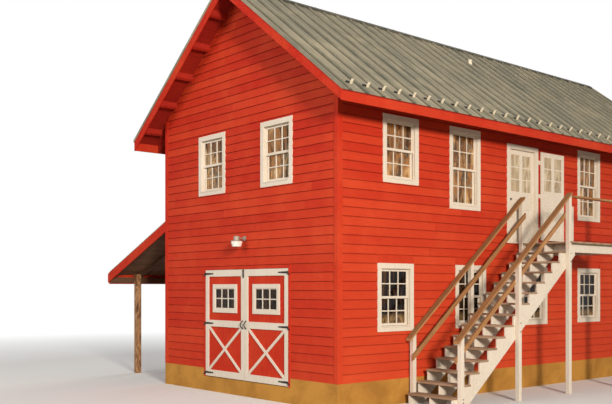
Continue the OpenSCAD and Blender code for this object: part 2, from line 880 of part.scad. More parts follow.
module landing_boards() {
    low_x = half_w + found_proud + 5;
    high_x = stair_out + newel + 20;
    step = landing_board + board_gap;
    count = floor((landing_l + nosing) / step);
    difference() {
        for (i = [0:count - 1])
            block([low_x, landing_y - nosing + i * step, landing_z - tread_t],
                [high_x, landing_y - nosing + i * step + landing_board, landing_z]);
        for (y = [newel_ys[2], landing_end - newel / 2], x = [inner_newel_x, outer_newel_x])
            newel(x, y, 0, landing_z + cut);
    }
}

module landing_frame() {
    top = landing_z - tread_t;
    low = top - landing_h;
    color(white) {
        block([half_w, stringer_end + joint, low], [half_w + stringer_t, landing_end, top]);
        block([stair_out - stringer_t, stringer_end + joint, low], [stair_out, landing_end, top]);
        for (y = [stringer_end + joint, (stringer_end + landing_end - stringer_t) / 2, landing_end - newel - stringer_t])
            block([half_w + stringer_t, y, low], [stair_out - stringer_t, y + stringer_t, top]);
    }
}

// Draws pieces of the lean-to with u out from the left wall as x
module lean_place() {
    translate([-half_w, 0, 0]) mirror([1, 0, 0]) children();
}

module lean_strip(u0, u1, down0, down1) {
    polygon([[u0, lean_z(u0) - down0], [u1, lean_z(u1) - down0],
        [u1, lean_z(u1) - down1], [u0, lean_z(u0) - down1]]);
}

lean_post_ys = [for (i = [0:lean_posts - 1])
    lean_post_in + i * (lean_l - 2 * lean_post_in - lean_post) / (lean_posts - 1)];

module lean_post_block(y, top) {
    block([lean_post_u - lean_post, y, 0], [lean_post_u, y + lean_post, top]);
}

// Posts reach the underside of the roof inside the beam
module lean_to_posts() {
    color("peru") lean_place() for (y = lean_post_ys) lean_post_block(y, lean_post_top);
}

// An eave beam on the outside of the posts and a ledger on the wall
module lean_to_beams() {
    color(bare) lean_place() {
        lean_beam_block(0, lean_l);
        along_y(0, lean_l) lean_strip(0, ledger_t, under_lean, lean_rafter_down + lean_seat);
    }
}

module lean_beam_block(from, to) {
    block([lean_post_u, from, lean_beam_top - lean_beam_h], [lean_beam_u, to, lean_beam_top]);
}

module lean_to_rafters() {
    room = lean_l - rafter_w;
    color(bare) lean_place() difference() {
        for (i = [0:lean_rafters - 1]) {
            y = i * room / (lean_rafters - 1);
            along_y(y, y + rafter_w) lean_strip(ledger_t, lean_tail, under_lean, lean_rafter_down);
        }
        lean_beam_block(-cut, lean_l + cut);
        for (y = lean_post_ys) lean_post_block(y, lean_top);
    }
}

module lean_to_roof() {
    color("slategray") lean_place() along_y(0, lean_l) lean_strip(0, lean_w, 0, lean_roof_down);
}

module lean_to_trim() {
    down = lean_roof_down + (lean_rake_h - lean_roof_t) / lean_cos;
    color(red) lean_place() {
        for (y = [-trim_t, lean_l]) along_y(y, y + trim_t) lean_strip(trim_t, lean_w, 0, down);
        along_y(joint, lean_l - joint) polygon([[lean_tail, lean_low], [lean_tail + trim_t, lean_low],
            [lean_tail + trim_t, lean_z(lean_tail + trim_t) - under_lean],
            [lean_tail, lean_z(lean_tail) - under_lean]]);
    }
}

foundation();
floor_slab();
upper_floor_boards();
upper_floor_joists();
front_wall_left();
front_wall_right();
front_gable_wall();
right_wall();
left_wall();
rear_wall();
corner_boards();
casings();
window_sashes();
window_glass();
rafters();
ridge_board();
roof_boards();
roof_metal();
ridge_cap();
rake_boards();
eave_boards();
lookouts();
doorway_frame();
door_pintles();
left_door_panel();
left_door_frame();
left_door_glass();
left_door_ironwork();
right_door_panel();
right_door_frame();
right_door_glass();
right_door_ironwork();
barn_lamp();
upper_door();
storm_door();
stair_stringers();
stair_and_landing_boards();
newel_posts();
stair_rails();
landing_frame();
lean_to_posts();
lean_to_beams();
lean_to_rafters();
lean_to_roof();
lean_to_trim();
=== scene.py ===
"""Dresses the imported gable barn: siding, roofing, joinery, ironwork, finishes, light and camera."""

import logging
import math
import random
from collections.abc import Iterable
from dataclasses import dataclass, replace
from enum import Enum

import bmesh
import bpy
from mathutils import Matrix, Vector


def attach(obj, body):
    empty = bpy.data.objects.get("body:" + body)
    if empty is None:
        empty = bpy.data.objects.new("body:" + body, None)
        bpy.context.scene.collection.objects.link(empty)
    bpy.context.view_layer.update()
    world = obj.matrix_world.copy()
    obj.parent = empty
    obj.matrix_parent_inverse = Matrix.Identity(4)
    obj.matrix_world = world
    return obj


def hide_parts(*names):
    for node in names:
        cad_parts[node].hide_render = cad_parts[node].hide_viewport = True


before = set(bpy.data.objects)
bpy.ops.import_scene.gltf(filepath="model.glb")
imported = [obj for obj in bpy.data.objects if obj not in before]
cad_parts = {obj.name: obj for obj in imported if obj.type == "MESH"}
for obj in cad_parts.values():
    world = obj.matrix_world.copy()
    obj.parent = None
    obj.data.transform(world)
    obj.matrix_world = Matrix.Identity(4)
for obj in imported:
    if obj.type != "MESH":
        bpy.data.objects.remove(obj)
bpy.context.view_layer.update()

logging.basicConfig(level=logging.INFO, format="%(message)s")
log = logging.getLogger("barn")

Point = tuple[float, float, float]
Colour = tuple[float, float, float]
Socket = bpy.types.NodeSocket
Material = bpy.types.Material

BARN = "barn"
LEFT_DOOR = "left_door"
RIGHT_DOOR = "right_door"
TINT = "tint"

# Sizes in metres that a finish shares with the pieces it is on
COURSE = 0.167
FOUNDATION_TOP = 0.48
SEAM_STEP = 0.4
FIRST_SEAM = 0.1
BOARD_STEP = 0.14

# Width of the eased edges of bars and other small pieces
EASED = 0.002

# The Mix node's sockets for colours
FIRST_COLOUR, SECOND_COLOUR, MIXED_COLOUR = 6, 7, 2


class Grain(Enum):
    """Which way the wood's grain or the sheet's streaks run, as stretch factors of the pattern."""

    LEVEL = (0.5, 0.5, 14.0)
    UPRIGHT = (14.0, 14.0, 0.5)
    ALONG_Y = (14.0, 0.5, 14.0)
    ALONG_X = (0.5, 14.0, 14.0)
    EVEN = (3.0, 3.0, 3.0)


class Wall(Enum):
    """The four walls, with the turn in degrees that carries the front wall onto each."""

    FRONT = 0
    RIGHT = 90
    REAR = 180
    LEFT = 270


# Finishes


class Nodes:
    """A node tree while it is being laid out."""

    def __init__(self, tree: bpy.types.NodeTree) -> None:
        """Starts work on a tree."""
        self.tree = tree

    def feed(self, into: Socket, value: Socket | Point | float) -> None:
        """Joins an output to an input, or writes a plain value into the input.

        Args:
            into: The input.
            value: The output, or a number, a vector or a colour of three parts.
        """
        if isinstance(value, Socket):
            self.tree.links.new(value, into)
        elif into.type == "RGBA":
            into.default_value = (*value, 1.0)
        else:
            into.default_value = value

    def node(self, kind: str, **values: object) -> bpy.types.Node:
        """Adds a node.

        Args:
            kind: The node's type name.
            values: Its properties, and what its inputs get, with _ for a space in an input's name.

        Returns:
            The new node.
        """
        made = self.tree.nodes.new(kind)
        for key, value in values.items():
            if hasattr(made, key):
                setattr(made, key, value)
            else:
                self.feed(made.inputs[key.replace("_", " ")], value)
        return made

    def maths(self, operation: str, first: Socket, second: Socket | float = 0.0) -> Socket:
        """Works out one step of arithmetic.

        Args:
            operation: The step, as the Math node names it.
            first: The first value.
            second: The second value.

        Returns:
            The result.
        """
        made = self.node("ShaderNodeMath", operation=operation)
        self.feed(made.inputs[0], first)
        self.feed(made.inputs[1], second)
        return made.outputs[0]

    def looking_rays(self) -> Socket:
        """Tells the rays that show a picture, straight or in metal or glass, from those that carry light.

        Returns:
            1 for a camera, glossy or transmission ray and 0 for others.
        """
        path = self.node("ShaderNodeLightPath").outputs
        seen = self.maths("MAXIMUM", path["Is Camera Ray"], path["Is Glossy Ray"])
        return self.maths("MAXIMUM", seen, path["Is Transmission Ray"])

    def show(self, output: str, share: Socket, first: Socket, second: Socket) -> None:
        """Gives two shaders, mixed, to the output node.

        Args:
            output: The output node's name.
            share: How much of the second shows.
            first: The first shader.
            second: The second shader.
        """
        mix = self.node("ShaderNodeMixShader")
        for into, value in zip(mix.inputs, (share, first, second)):
            self.feed(into, value)
        self.feed(self.tree.nodes[output].inputs["Surface"], mix.outputs[0])


class Sheet(Nodes):
    """The node tree of a new material with a Principled shader."""

    def __init__(self, name: str) -> None:
        """Starts the material.

        Args:
            name: The material's name.
        """
        self.material = bpy.data.materials.new(name)
        self.material.use_nodes = True
        super().__init__(self.material.node_tree)
        self.shader = self.tree.nodes["Principled BSDF"]

    def place(self, stretch: Point = (1.0, 1.0, 1.0), turn: Point = (0.0, 0.0, 0.0)) -> Socket:
        """Object coordinates, turned by degrees about each axis and then squeezed along each."""
        turned = self.node("ShaderNodeMapping", Vector=self.node("ShaderNodeTexCoord").outputs["Object"],
                           Rotation=[math.radians(v) for v in turn]).outputs["Vector"]
        return self.node("ShaderNodeMapping", Vector=turned, Scale=stretch).outputs["Vector"]

    def noise(self, where: Socket, scale: float, octaves: float, rough: float, warp: float = 0.0) -> Socket:
        """A noise value, by its fineness, its octaves, the strength of the fine ones and its distortion."""
        return self.node("ShaderNodeTexNoise", Vector=where, Scale=scale, Detail=octaves, Roughness=rough,
                         Distortion=warp).outputs["Fac"]

    def spread(self, value: Socket, low: float, high: float, to_low: float = 0.0,
               to_high: float = 1.0) -> Socket:
        """Maps the range from low to high onto another, clamped."""
        return self.node("ShaderNodeMapRange", Value=value, From_Min=low, From_Max=high, To_Min=to_low,
                         To_Max=to_high).outputs["Result"]

    def blend(self, share: Socket | float, first: Socket | Colour, second: Socket | Colour) -> Socket:
        """Mixes two colours.

        Args:
            share: How much of the second shows.
            first: The first colour.
            second: The second colour.

        Returns:
            The colour.
        """
        made = self.node("ShaderNodeMix", data_type="RGBA", Factor=share)
        self.feed(made.inputs[FIRST_COLOUR], first)
        self.feed(made.inputs[SECOND_COLOUR], second)
        return made.outputs[MIXED_COLOUR]

    def axis(self, name: str) -> Socket:
        """One of the Object coordinates X, Y and Z, in metres."""
        where = self.node("ShaderNodeTexCoord").outputs["Object"]
        return self.node("ShaderNodeSeparateXYZ", Vector=where).outputs[name]

    def within(self, name: str, low: float, high: float) -> Socket:
        """1 where an Object coordinate lies between two values and 0 elsewhere."""
        value = self.axis(name)
        return self.maths("MULTIPLY", self.maths("GREATER_THAN", value, low),
                          self.maths("LESS_THAN", value, high))

    def cycle(self, name: str, step: float, start: float) -> Socket:
        """How far a place is through its step in a row of equal steps along an axis, from 0 to 1."""
        away = self.maths("SUBTRACT", self.axis(name), start)
        return self.maths("FRACT", self.maths("DIVIDE", away, step))

    def dark_line_share(self, dark_line: "DarkLine") -> Socket:
        """1 at the end of each dark line between boards, fading to 0 at its start and on a board."""
        share = self.cycle(dark_line.axis, dark_line.step, dark_line.end)
        return self.spread(share, 1.0 - dark_line.width / dark_line.step, 1.0 - 0.3 * dark_line.width / dark_line.step)

    def beside(self, name: str, step: float, at: float) -> Socket:
        """The distance in metres from the nearest of a row of lines across an axis."""
        share = self.maths("SUBTRACT", self.cycle(name, step, at - step / 2), 0.5)
        return self.maths("MULTIPLY", self.maths("ABSOLUTE", share), step)

    def facing_up(self, low: float, high: float, most: float) -> Socket:
        """0 on a face that looks up by less than low, rising to the most where it does by high."""
        normal = self.node("ShaderNodeNewGeometry").outputs["Normal"]
        up = self.node("ShaderNodeSeparateXYZ", Vector=normal).outputs["Z"]
        return self.spread(up, low, high, 0.0, most)

    def tint(self) -> Socket:
        """The board-by-board value that a piece's mesh carries."""
        return self.node("ShaderNodeAttribute", attribute_name=TINT).outputs["Fac"]

    def relief(self, height: Socket, strength: float, depth: float) -> None:
        """Raises the surface by a value, of which 1 is the depth in metres."""
        bump = self.node("ShaderNodeBump", Strength=strength, Distance=depth, Height=height)
        self.feed(self.shader.inputs["Normal"], bump.outputs["Normal"])

    def coat(self, colour: Socket, rough: Socket | float, shine: float = 0.5, metallic: float = 0.0) -> None:
        """Gives the surface its colour, roughness, shine and share of metal."""
        for name, value in (("Base Color", colour), ("Roughness", rough), ("Specular IOR Level", shine),
                            ("Metallic", metallic)):
            self.feed(self.shader.inputs[name], value)


@dataclass(frozen=True)
class Tones:
    """The three colours of a weathered surface."""

    base: Colour
    dark: Colour
    pale: Colour

    def deep(self, share: float) -> Colour:
        """The dark colour, brought down to a share of itself."""
        return tuple(v * share for v in self.dark)


@dataclass(frozen=True)
class DarkLine:
    """Dark lines between boards: across which axis, how far apart, how wide and where one ends."""

    axis: str
    step: float
    width: float = 0.007
    end: float = 0.0
    depth: float = 0.75


BARE = Tones((0.40, 0.235, 0.115), (0.17, 0.09, 0.045), (0.56, 0.38, 0.22))
SHADED_RED = Tones((0.30, 0.014, 0.006), (0.20, 0.008, 0.004), (0.38, 0.024, 0.01))


@dataclass(frozen=True)
class Finish:
    """A named surface."""

    name: str

    def lay(self, sheet: Sheet) -> None:
        """Lays out the nodes, which each kind of finish does in its own way."""
        raise NotImplementedError

    def make(self) -> Material:
        """Makes the material.

        Returns:
            The material.
        """
        sheet = Sheet(self.name)
        self.lay(sheet)
        return sheet.material


@dataclass(frozen=True)
class Timber(Finish):
    """A painted or bare wooden surface, bare inside the room if it is marked so."""

    tones: Tones
    grain: Grain = Grain.LEVEL
    turn: Point = (0.0, 0.0, 0.0)
    rough: float = 0.7
    wear: float = 0.5
    boards: float = 0.0
    relief: float = 0.25
    shine: float = 0.2
    dark_line: DarkLine | None = None
    inside: bool = False
    top_darkening: float = 0.0
    mottle: float = 0.0
    pale_low: float = 0.0
    pale_low_top: float = 6.5
    pale_right_x: tuple[float, float] = (2.6, 2.9)
    room_x: tuple[float, float] = (-2.8, 2.8)
    room_y: tuple[float, float] = (0.08, 12.38)

    def colour(self, sheet: Sheet, fine: Socket) -> Socket:
        """Lays out the colour: grain, fading, each board's shade, darker top faces, a paler lower part and
        stains.

        Args:
            sheet: The node tree.
            fine: The grain.

        Returns:
            The colour.
        """
        dark, pale = self.tones.dark, self.tones.pale
        broad = sheet.noise(sheet.place(), 0.9, 5.0, 0.6)
        colour = sheet.blend(sheet.spread(fine, 0.3, 0.62), dark, self.tones.base)
        colour = sheet.blend(sheet.spread(broad, 0.45, 0.75, 0.0, self.wear), colour, pale)
        if self.boards:
            colour = sheet.blend(self.boards, colour, sheet.blend(sheet.tint(), dark, pale))
        # Darkens the faces that look up by the given share.
        if self.top_darkening:
            colour = sheet.blend(sheet.facing_up(0.25, 0.7, self.top_darkening), colour, dark)
        # Paler lower down, most of all on the right wall.
        if self.pale_low:
            low = sheet.spread(sheet.axis("Z"), 0.0, self.pale_low_top, self.pale_low, 0.0)
            right_share = sheet.spread(sheet.axis("X"), *self.pale_right_x, 0.3, 1.0)
            colour = sheet.blend(sheet.maths("MULTIPLY", low, right_share), colour, pale)
        if self.mottle:
            spots = sheet.noise(sheet.place((1.0, 1.0, 0.4)), 8.0, 6.0, 0.7, 1.5)
            colour = sheet.blend(sheet.spread(spots, 0.5, 0.6, 0.0, self.mottle), colour, pale)
            colour = sheet.blend(sheet.spread(spots, 0.38, 0.47, self.mottle, 0.0), colour, dark)
        return colour

    def lay(self, sheet: Sheet) -> None:
        """Lays out the nodes.

        Args:
            sheet: The node tree.
        """
        fine = sheet.noise(sheet.place(self.grain.value, self.turn), 7.0, 8.0, 0.65, 0.35)
        colour, height = self.colour(sheet, fine), fine
        # Dark lines: dark joints between boards, and on the clapboards a painted shadow band under each
        # butt.
        if self.dark_line:
            seam = sheet.dark_line_share(self.dark_line)
            share = sheet.maths("MULTIPLY", seam, self.dark_line.depth)
            colour = sheet.blend(share, colour, self.tones.deep(0.4))
            height = sheet.maths("SUBTRACT", fine, seam)
        if self.inside:
            room = sheet.maths("MULTIPLY", sheet.within("X", *self.room_x), sheet.within("Y", *self.room_y))
            wood = sheet.blend(sheet.spread(fine, 0.3, 0.7), BARE.dark, BARE.base)
            colour = sheet.blend(room, colour, wood)
        rough = sheet.spread(fine, 0.2, 0.8, self.rough + 0.1, self.rough - 0.08)
        sheet.coat(colour, rough, self.shine)
        sheet.relief(height, self.relief, 0.004)


@dataclass(frozen=True)
class Roofing(Finish):
    """Painted sheet metal, streaked down the slope, with painted shade along the feet of the seams if it has
    any.
    """

    tones: Tones
    seam_shade: float = 0.0

    def lay(self, sheet: Sheet) -> None:
        """Lays out the nodes.

        Args:
            sheet: The node tree.
        """
        streaks = sheet.noise(sheet.place((0.35, 7.0, 0.35)), 1.1, 7.0, 0.6, 0.2)
        even = sheet.place()
        blotches = sheet.noise(even, 1.3, 8.0, 0.62, 0.6)
        grit = sheet.noise(even, 38.0, 3.0, 0.6)
        colour = sheet.blend(sheet.spread(streaks, 0.35, 0.62), self.tones.dark, self.tones.base)
        colour = sheet.blend(sheet.spread(blotches, 0.45, 0.7, 0.0, 0.7), colour, self.tones.pale)
        colour = sheet.blend(sheet.spread(grit, 0.55, 0.8, 0.0, 0.3), colour, self.tones.dark)
        # Painted shade: a dark band on either side of each seam's foot.
        if self.seam_shade:
            foot = sheet.spread(sheet.beside("Y", SEAM_STEP, FIRST_SEAM), 0.022, 0.085, self.seam_shade, 0.0)
            colour = sheet.blend(foot, colour, self.tones.deep(0.25))
        sheet.coat(colour, sheet.spread(blotches, 0.3, 0.7, 0.55, 0.72), 0.16, 0.05)
        sheet.relief(grit, 0.15, 0.003)


@dataclass(frozen=True)
class Masonry(Finish):
    """Parged stone or concrete."""

    tones: Tones
    scale: float = 2.2

    def lay(self, sheet: Sheet) -> None:
        """Lays out the nodes.

        Args:
            sheet: The node tree.
        """
        even = sheet.place()
        blotches = sheet.noise(even, self.scale, 8.0, 0.6, 0.4)
        grit = sheet.noise(even, 55.0, 4.0, 0.7)
        colour = sheet.blend(sheet.spread(blotches, 0.32, 0.6), self.tones.dark, self.tones.base)
        colour = sheet.blend(sheet.spread(grit, 0.4, 0.75, 0.0, 0.45), colour, self.tones.pale)
        sheet.coat(colour, 0.9, 0.15)
        sheet.relief(grit, 0.6, 0.005)


@dataclass(frozen=True)
class Pane(Finish):
    """Old window glass with a faint wave: curtained rooms upstairs and dark ones below, with painted light.
    """

    warm: Colour
    dark: Colour
    low_warm: Colour
    low_dark: Colour
    glow: Colour
    glint_colour: Colour
    painted_low_light: Colour
    split: float = 2.9
    foot: float = 1.72
    fade: float = 0.1

    def lay(self, sheet: Sheet) -> None:
        """Lays out the nodes.

        Args:
            sheet: The node tree.
        """
        even, height = sheet.place(), sheet.axis("Z")
        clouds = sheet.noise(sheet.place((3.4, 3.4, 0.9)), 1.7, 7.0, 0.68, 1.2)
        # Painted light: bright patches in the glow colour on the curtains upstairs.
        curtain_light_spots = sheet.noise(even, 1.9, 4.0, 0.6, 0.6)
        glints = sheet.noise(even, 4.2, 6.0, 0.72, 2.0)
        curtain = sheet.blend(sheet.spread(curtain_light_spots, 0.46, 0.64), self.warm, self.glow)
        high = sheet.blend(sheet.spread(clouds, 0.41, 0.57), self.dark, curtain)
        # Painted glints of reflected light on the upper panes.
        high = sheet.blend(sheet.spread(glints, 0.53, 0.62, 0.0, 0.8), high, self.glint_colour)
        low = sheet.blend(sheet.spread(clouds, 0.48, 0.68), self.low_dark, self.low_warm)
        # Painted light: a pale band near the foot of the lower panes.
        low_light_colour = sheet.blend(sheet.spread(glints, 0.4, 0.6), self.low_warm, self.painted_low_light)
        near_foot = sheet.spread(height, self.foot - self.fade, self.foot, 0.85, 0.0)
        low = sheet.blend(near_foot, low, low_light_colour)
        colour = sheet.blend(sheet.spread(height, self.split, self.split + self.fade), low, high)
        sheet.coat(colour, 0.05, 0.13)
        sheet.relief(sheet.noise(even, 3.0, 2.0, 0.5), 0.08, 0.01)


@dataclass(frozen=True)
class Metal(Finish):
    """Iron, enamel or other metal with a little wear."""

    base: Colour
    worn: Colour
    rough: float
    metallic: float

    def lay(self, sheet: Sheet) -> None:
        """Lays out the nodes.

        Args:
            sheet: The node tree.
        """
        spots = sheet.noise(sheet.place(), 22.0, 6.0, 0.65)
        colour = sheet.blend(sheet.spread(spots, 0.5, 0.75, 0.0, 0.7), self.base, self.worn)
        rough = sheet.spread(spots, 0.3, 0.7, self.rough - 0.05, self.rough + 0.2)
        sheet.coat(colour, rough, metallic=self.metallic)
        sheet.relief(spots, 0.2, 0.001)


RED_BOARDS = Timber(
    "red_boards_upright", Tones((0.55, 0.0245, 0.008), (0.36, 0.012, 0.005), (0.68, 0.09, 0.026)),
    Grain.UPRIGHT, relief=0.3, shine=0.15, pale_low=0.45)
# The whites' cream tone is partly the paint's own colour and partly painted warm sunlight.
WHITE_BOARDS = Timber(
    "white_upright", Tones((0.74, 0.655, 0.545), (0.62, 0.53, 0.42), (0.80, 0.73, 0.63)),
    Grain.UPRIGHT, rough=0.62, relief=0.12)
BARE_BOARDS = Timber("frame_wood", BARE, Grain.EVEN, rough=0.78, wear=0.6, relief=0.5, shine=0.15)

FINISHES = (
    RED_BOARDS,
    replace(RED_BOARDS, name="red_boards_level", grain=Grain.LEVEL, boards=0.22, inside=True),
    # Painted shadow: the clapboards' dark band just under each butt.
    replace(RED_BOARDS, name="red_clapboards", grain=Grain.LEVEL, boards=0.26,
            dark_line=DarkLine("Z", COURSE, 0.024, FOUNDATION_TOP, 0.5)),
    replace(RED_BOARDS, name="red_boards_sloped", grain=Grain.EVEN),
    replace(RED_BOARDS, name="door_red_boards", dark_line=DarkLine("X", 0.138, 0.006, 0.0, 0.6)),
    # Painted shade: the soffit, the rafter tails and the lookouts are a darker red than the walls, as under
    # the eaves.
    Timber("red_soffit_boards", SHADED_RED, Grain.ALONG_Y, dark_line=DarkLine("X", BOARD_STEP), inside=True),
    Timber("rafters_with_red_tails", SHADED_RED, Grain.EVEN, inside=True),
    Timber("shaded_red_lookouts", Tones((0.38, 0.018, 0.007), (0.26, 0.01, 0.005), (0.46, 0.03, 0.012)),
           Grain.EVEN),
    WHITE_BOARDS,
    replace(WHITE_BOARDS, name="white_trim", grain=Grain.EVEN),
    BARE_BOARDS,
    replace(BARE_BOARDS, name="deck_wood", grain=Grain.ALONG_X, dark_line=DarkLine("X", BOARD_STEP)),
    Timber("lean_to_wood", Tones((0.17, 0.085, 0.045), (0.075, 0.037, 0.02), (0.26, 0.15, 0.085)),
           Grain.ALONG_Y, boards=0.3, relief=0.5),
    Timber("tread_wood", Tones((0.34, 0.205, 0.115), (0.15, 0.085, 0.05), (0.50, 0.36, 0.24)),
           Grain.ALONG_X, boards=0.35, wear=0.6, relief=0.5),
    Timber("rail_wood", Tones((0.445, 0.20, 0.07), (0.15, 0.06, 0.02), (0.60, 0.35, 0.165)),
           Grain.ALONG_Y, (-38.7, 0.0, 0.0), boards=0.25, relief=0.4, top_darkening=0.6),
    Timber("post_wood", Tones((0.275, 0.115, 0.048), (0.088, 0.035, 0.016), (0.54, 0.31, 0.15)),
           Grain.UPRIGHT, boards=0.25, wear=0.9, relief=1.4, mottle=0.85),
    Roofing("roof_metal_weathered",
            Tones((0.33, 0.288, 0.20), (0.175, 0.168, 0.125), (0.46, 0.40, 0.272)), 0.9),
    Roofing("roof_seams_weathered", Tones((0.36, 0.32, 0.23), (0.195, 0.19, 0.14), (0.49, 0.43, 0.305))),
    Roofing("ridge_metal_dark", Tones((0.12, 0.115, 0.09), (0.07, 0.07, 0.055), (0.22, 0.20, 0.15))),
    Masonry("foundation_parging",
            Tones((0.51, 0.235, 0.041), (0.31, 0.125, 0.02), (0.62, 0.36, 0.095)), 1.4),
    Masonry("floor_concrete", Tones((0.42, 0.41, 0.38), (0.30, 0.29, 0.27), (0.55, 0.54, 0.50))),
    Metal("black_iron_worn", (0.014, 0.013, 0.013), (0.06, 0.045, 0.035), 0.5, 0.3),
    Metal("lamp_enamel", (0.33, 0.29, 0.23), (0.20, 0.17, 0.13), 0.4, 0.2),
    Metal("lamp_lens_glass", (0.82, 0.80, 0.74), (0.70, 0.66, 0.58), 0.25, 0.0),
    Metal("pale_guard", (0.80, 0.70, 0.52), (0.60, 0.50, 0.36), 0.4, 0.0),
    Pane("window_panes", (0.34, 0.148, 0.045), (0.062, 0.026, 0.011), (0.08, 0.036, 0.016),
         (0.004, 0.003, 0.003), (0.64, 0.40, 0.18), (0.19, 0.17, 0.12), (0.33, 0.21, 0.085)),
    Pane("landing_door_panes", (0.58, 0.46, 0.30), (0.36, 0.25, 0.14), (0.58, 0.46, 0.30),
         (0.36, 0.25, 0.14), (0.66, 0.55, 0.38), (0.40, 0.38, 0.31), (0.36, 0.25, 0.14)),
)

NODE_FINISHES = {
    "red_boards_level": ("front_wall_left", "front_wall_right", "front_gable_wall", "right_wall",
                         "left_wall", "rear_wall"),
    "door_red_boards": ("left_door_panel", "right_door_panel"),
    "red_soffit_boards": ("roof_boards",),
    "rafters_with_red_tails": ("rafters",),
    "frame_wood": ("upper_floor_joists", "ridge_board"),
    "deck_wood": ("upper_floor_boards",),
    "lean_to_wood": ("lean_to_beams", "lean_to_rafters"),
    "roof_metal_weathered": ("roof_metal", "lean_to_roof"),
    "ridge_metal_dark": ("ridge_cap",),
    "foundation_parging": ("foundation",),
    "floor_concrete": ("floor_slab",),
    "black_iron_worn": ("door_pintles",),
    "lamp_enamel": ("barn_lamp",),
    "window_panes": ("window_glass", "left_door_glass", "right_door_glass"),
}


def repaint(paints: dict[str, Material]) -> None:
    """Gives CAD nodes better materials.

    Args:
        paints: The barn's materials by name.
    """
    for name, nodes in NODE_FINISHES.items():
        for node in nodes:
            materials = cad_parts[node].data.materials
            materials.clear()
            materials.append(paints[name])


# Meshes


def put(name: str, data: bpy.types.ID) -> bpy.types.Object:
    """Puts a new object into the scene, at the origin.

    Args:
        name: The object's name.
        data: Its mesh, lamp or camera.

    Returns:
        The object.
    """
    made = bpy.data.objects.new(name, data)
    bpy.context.scene.collection.objects.link(made)
    return made


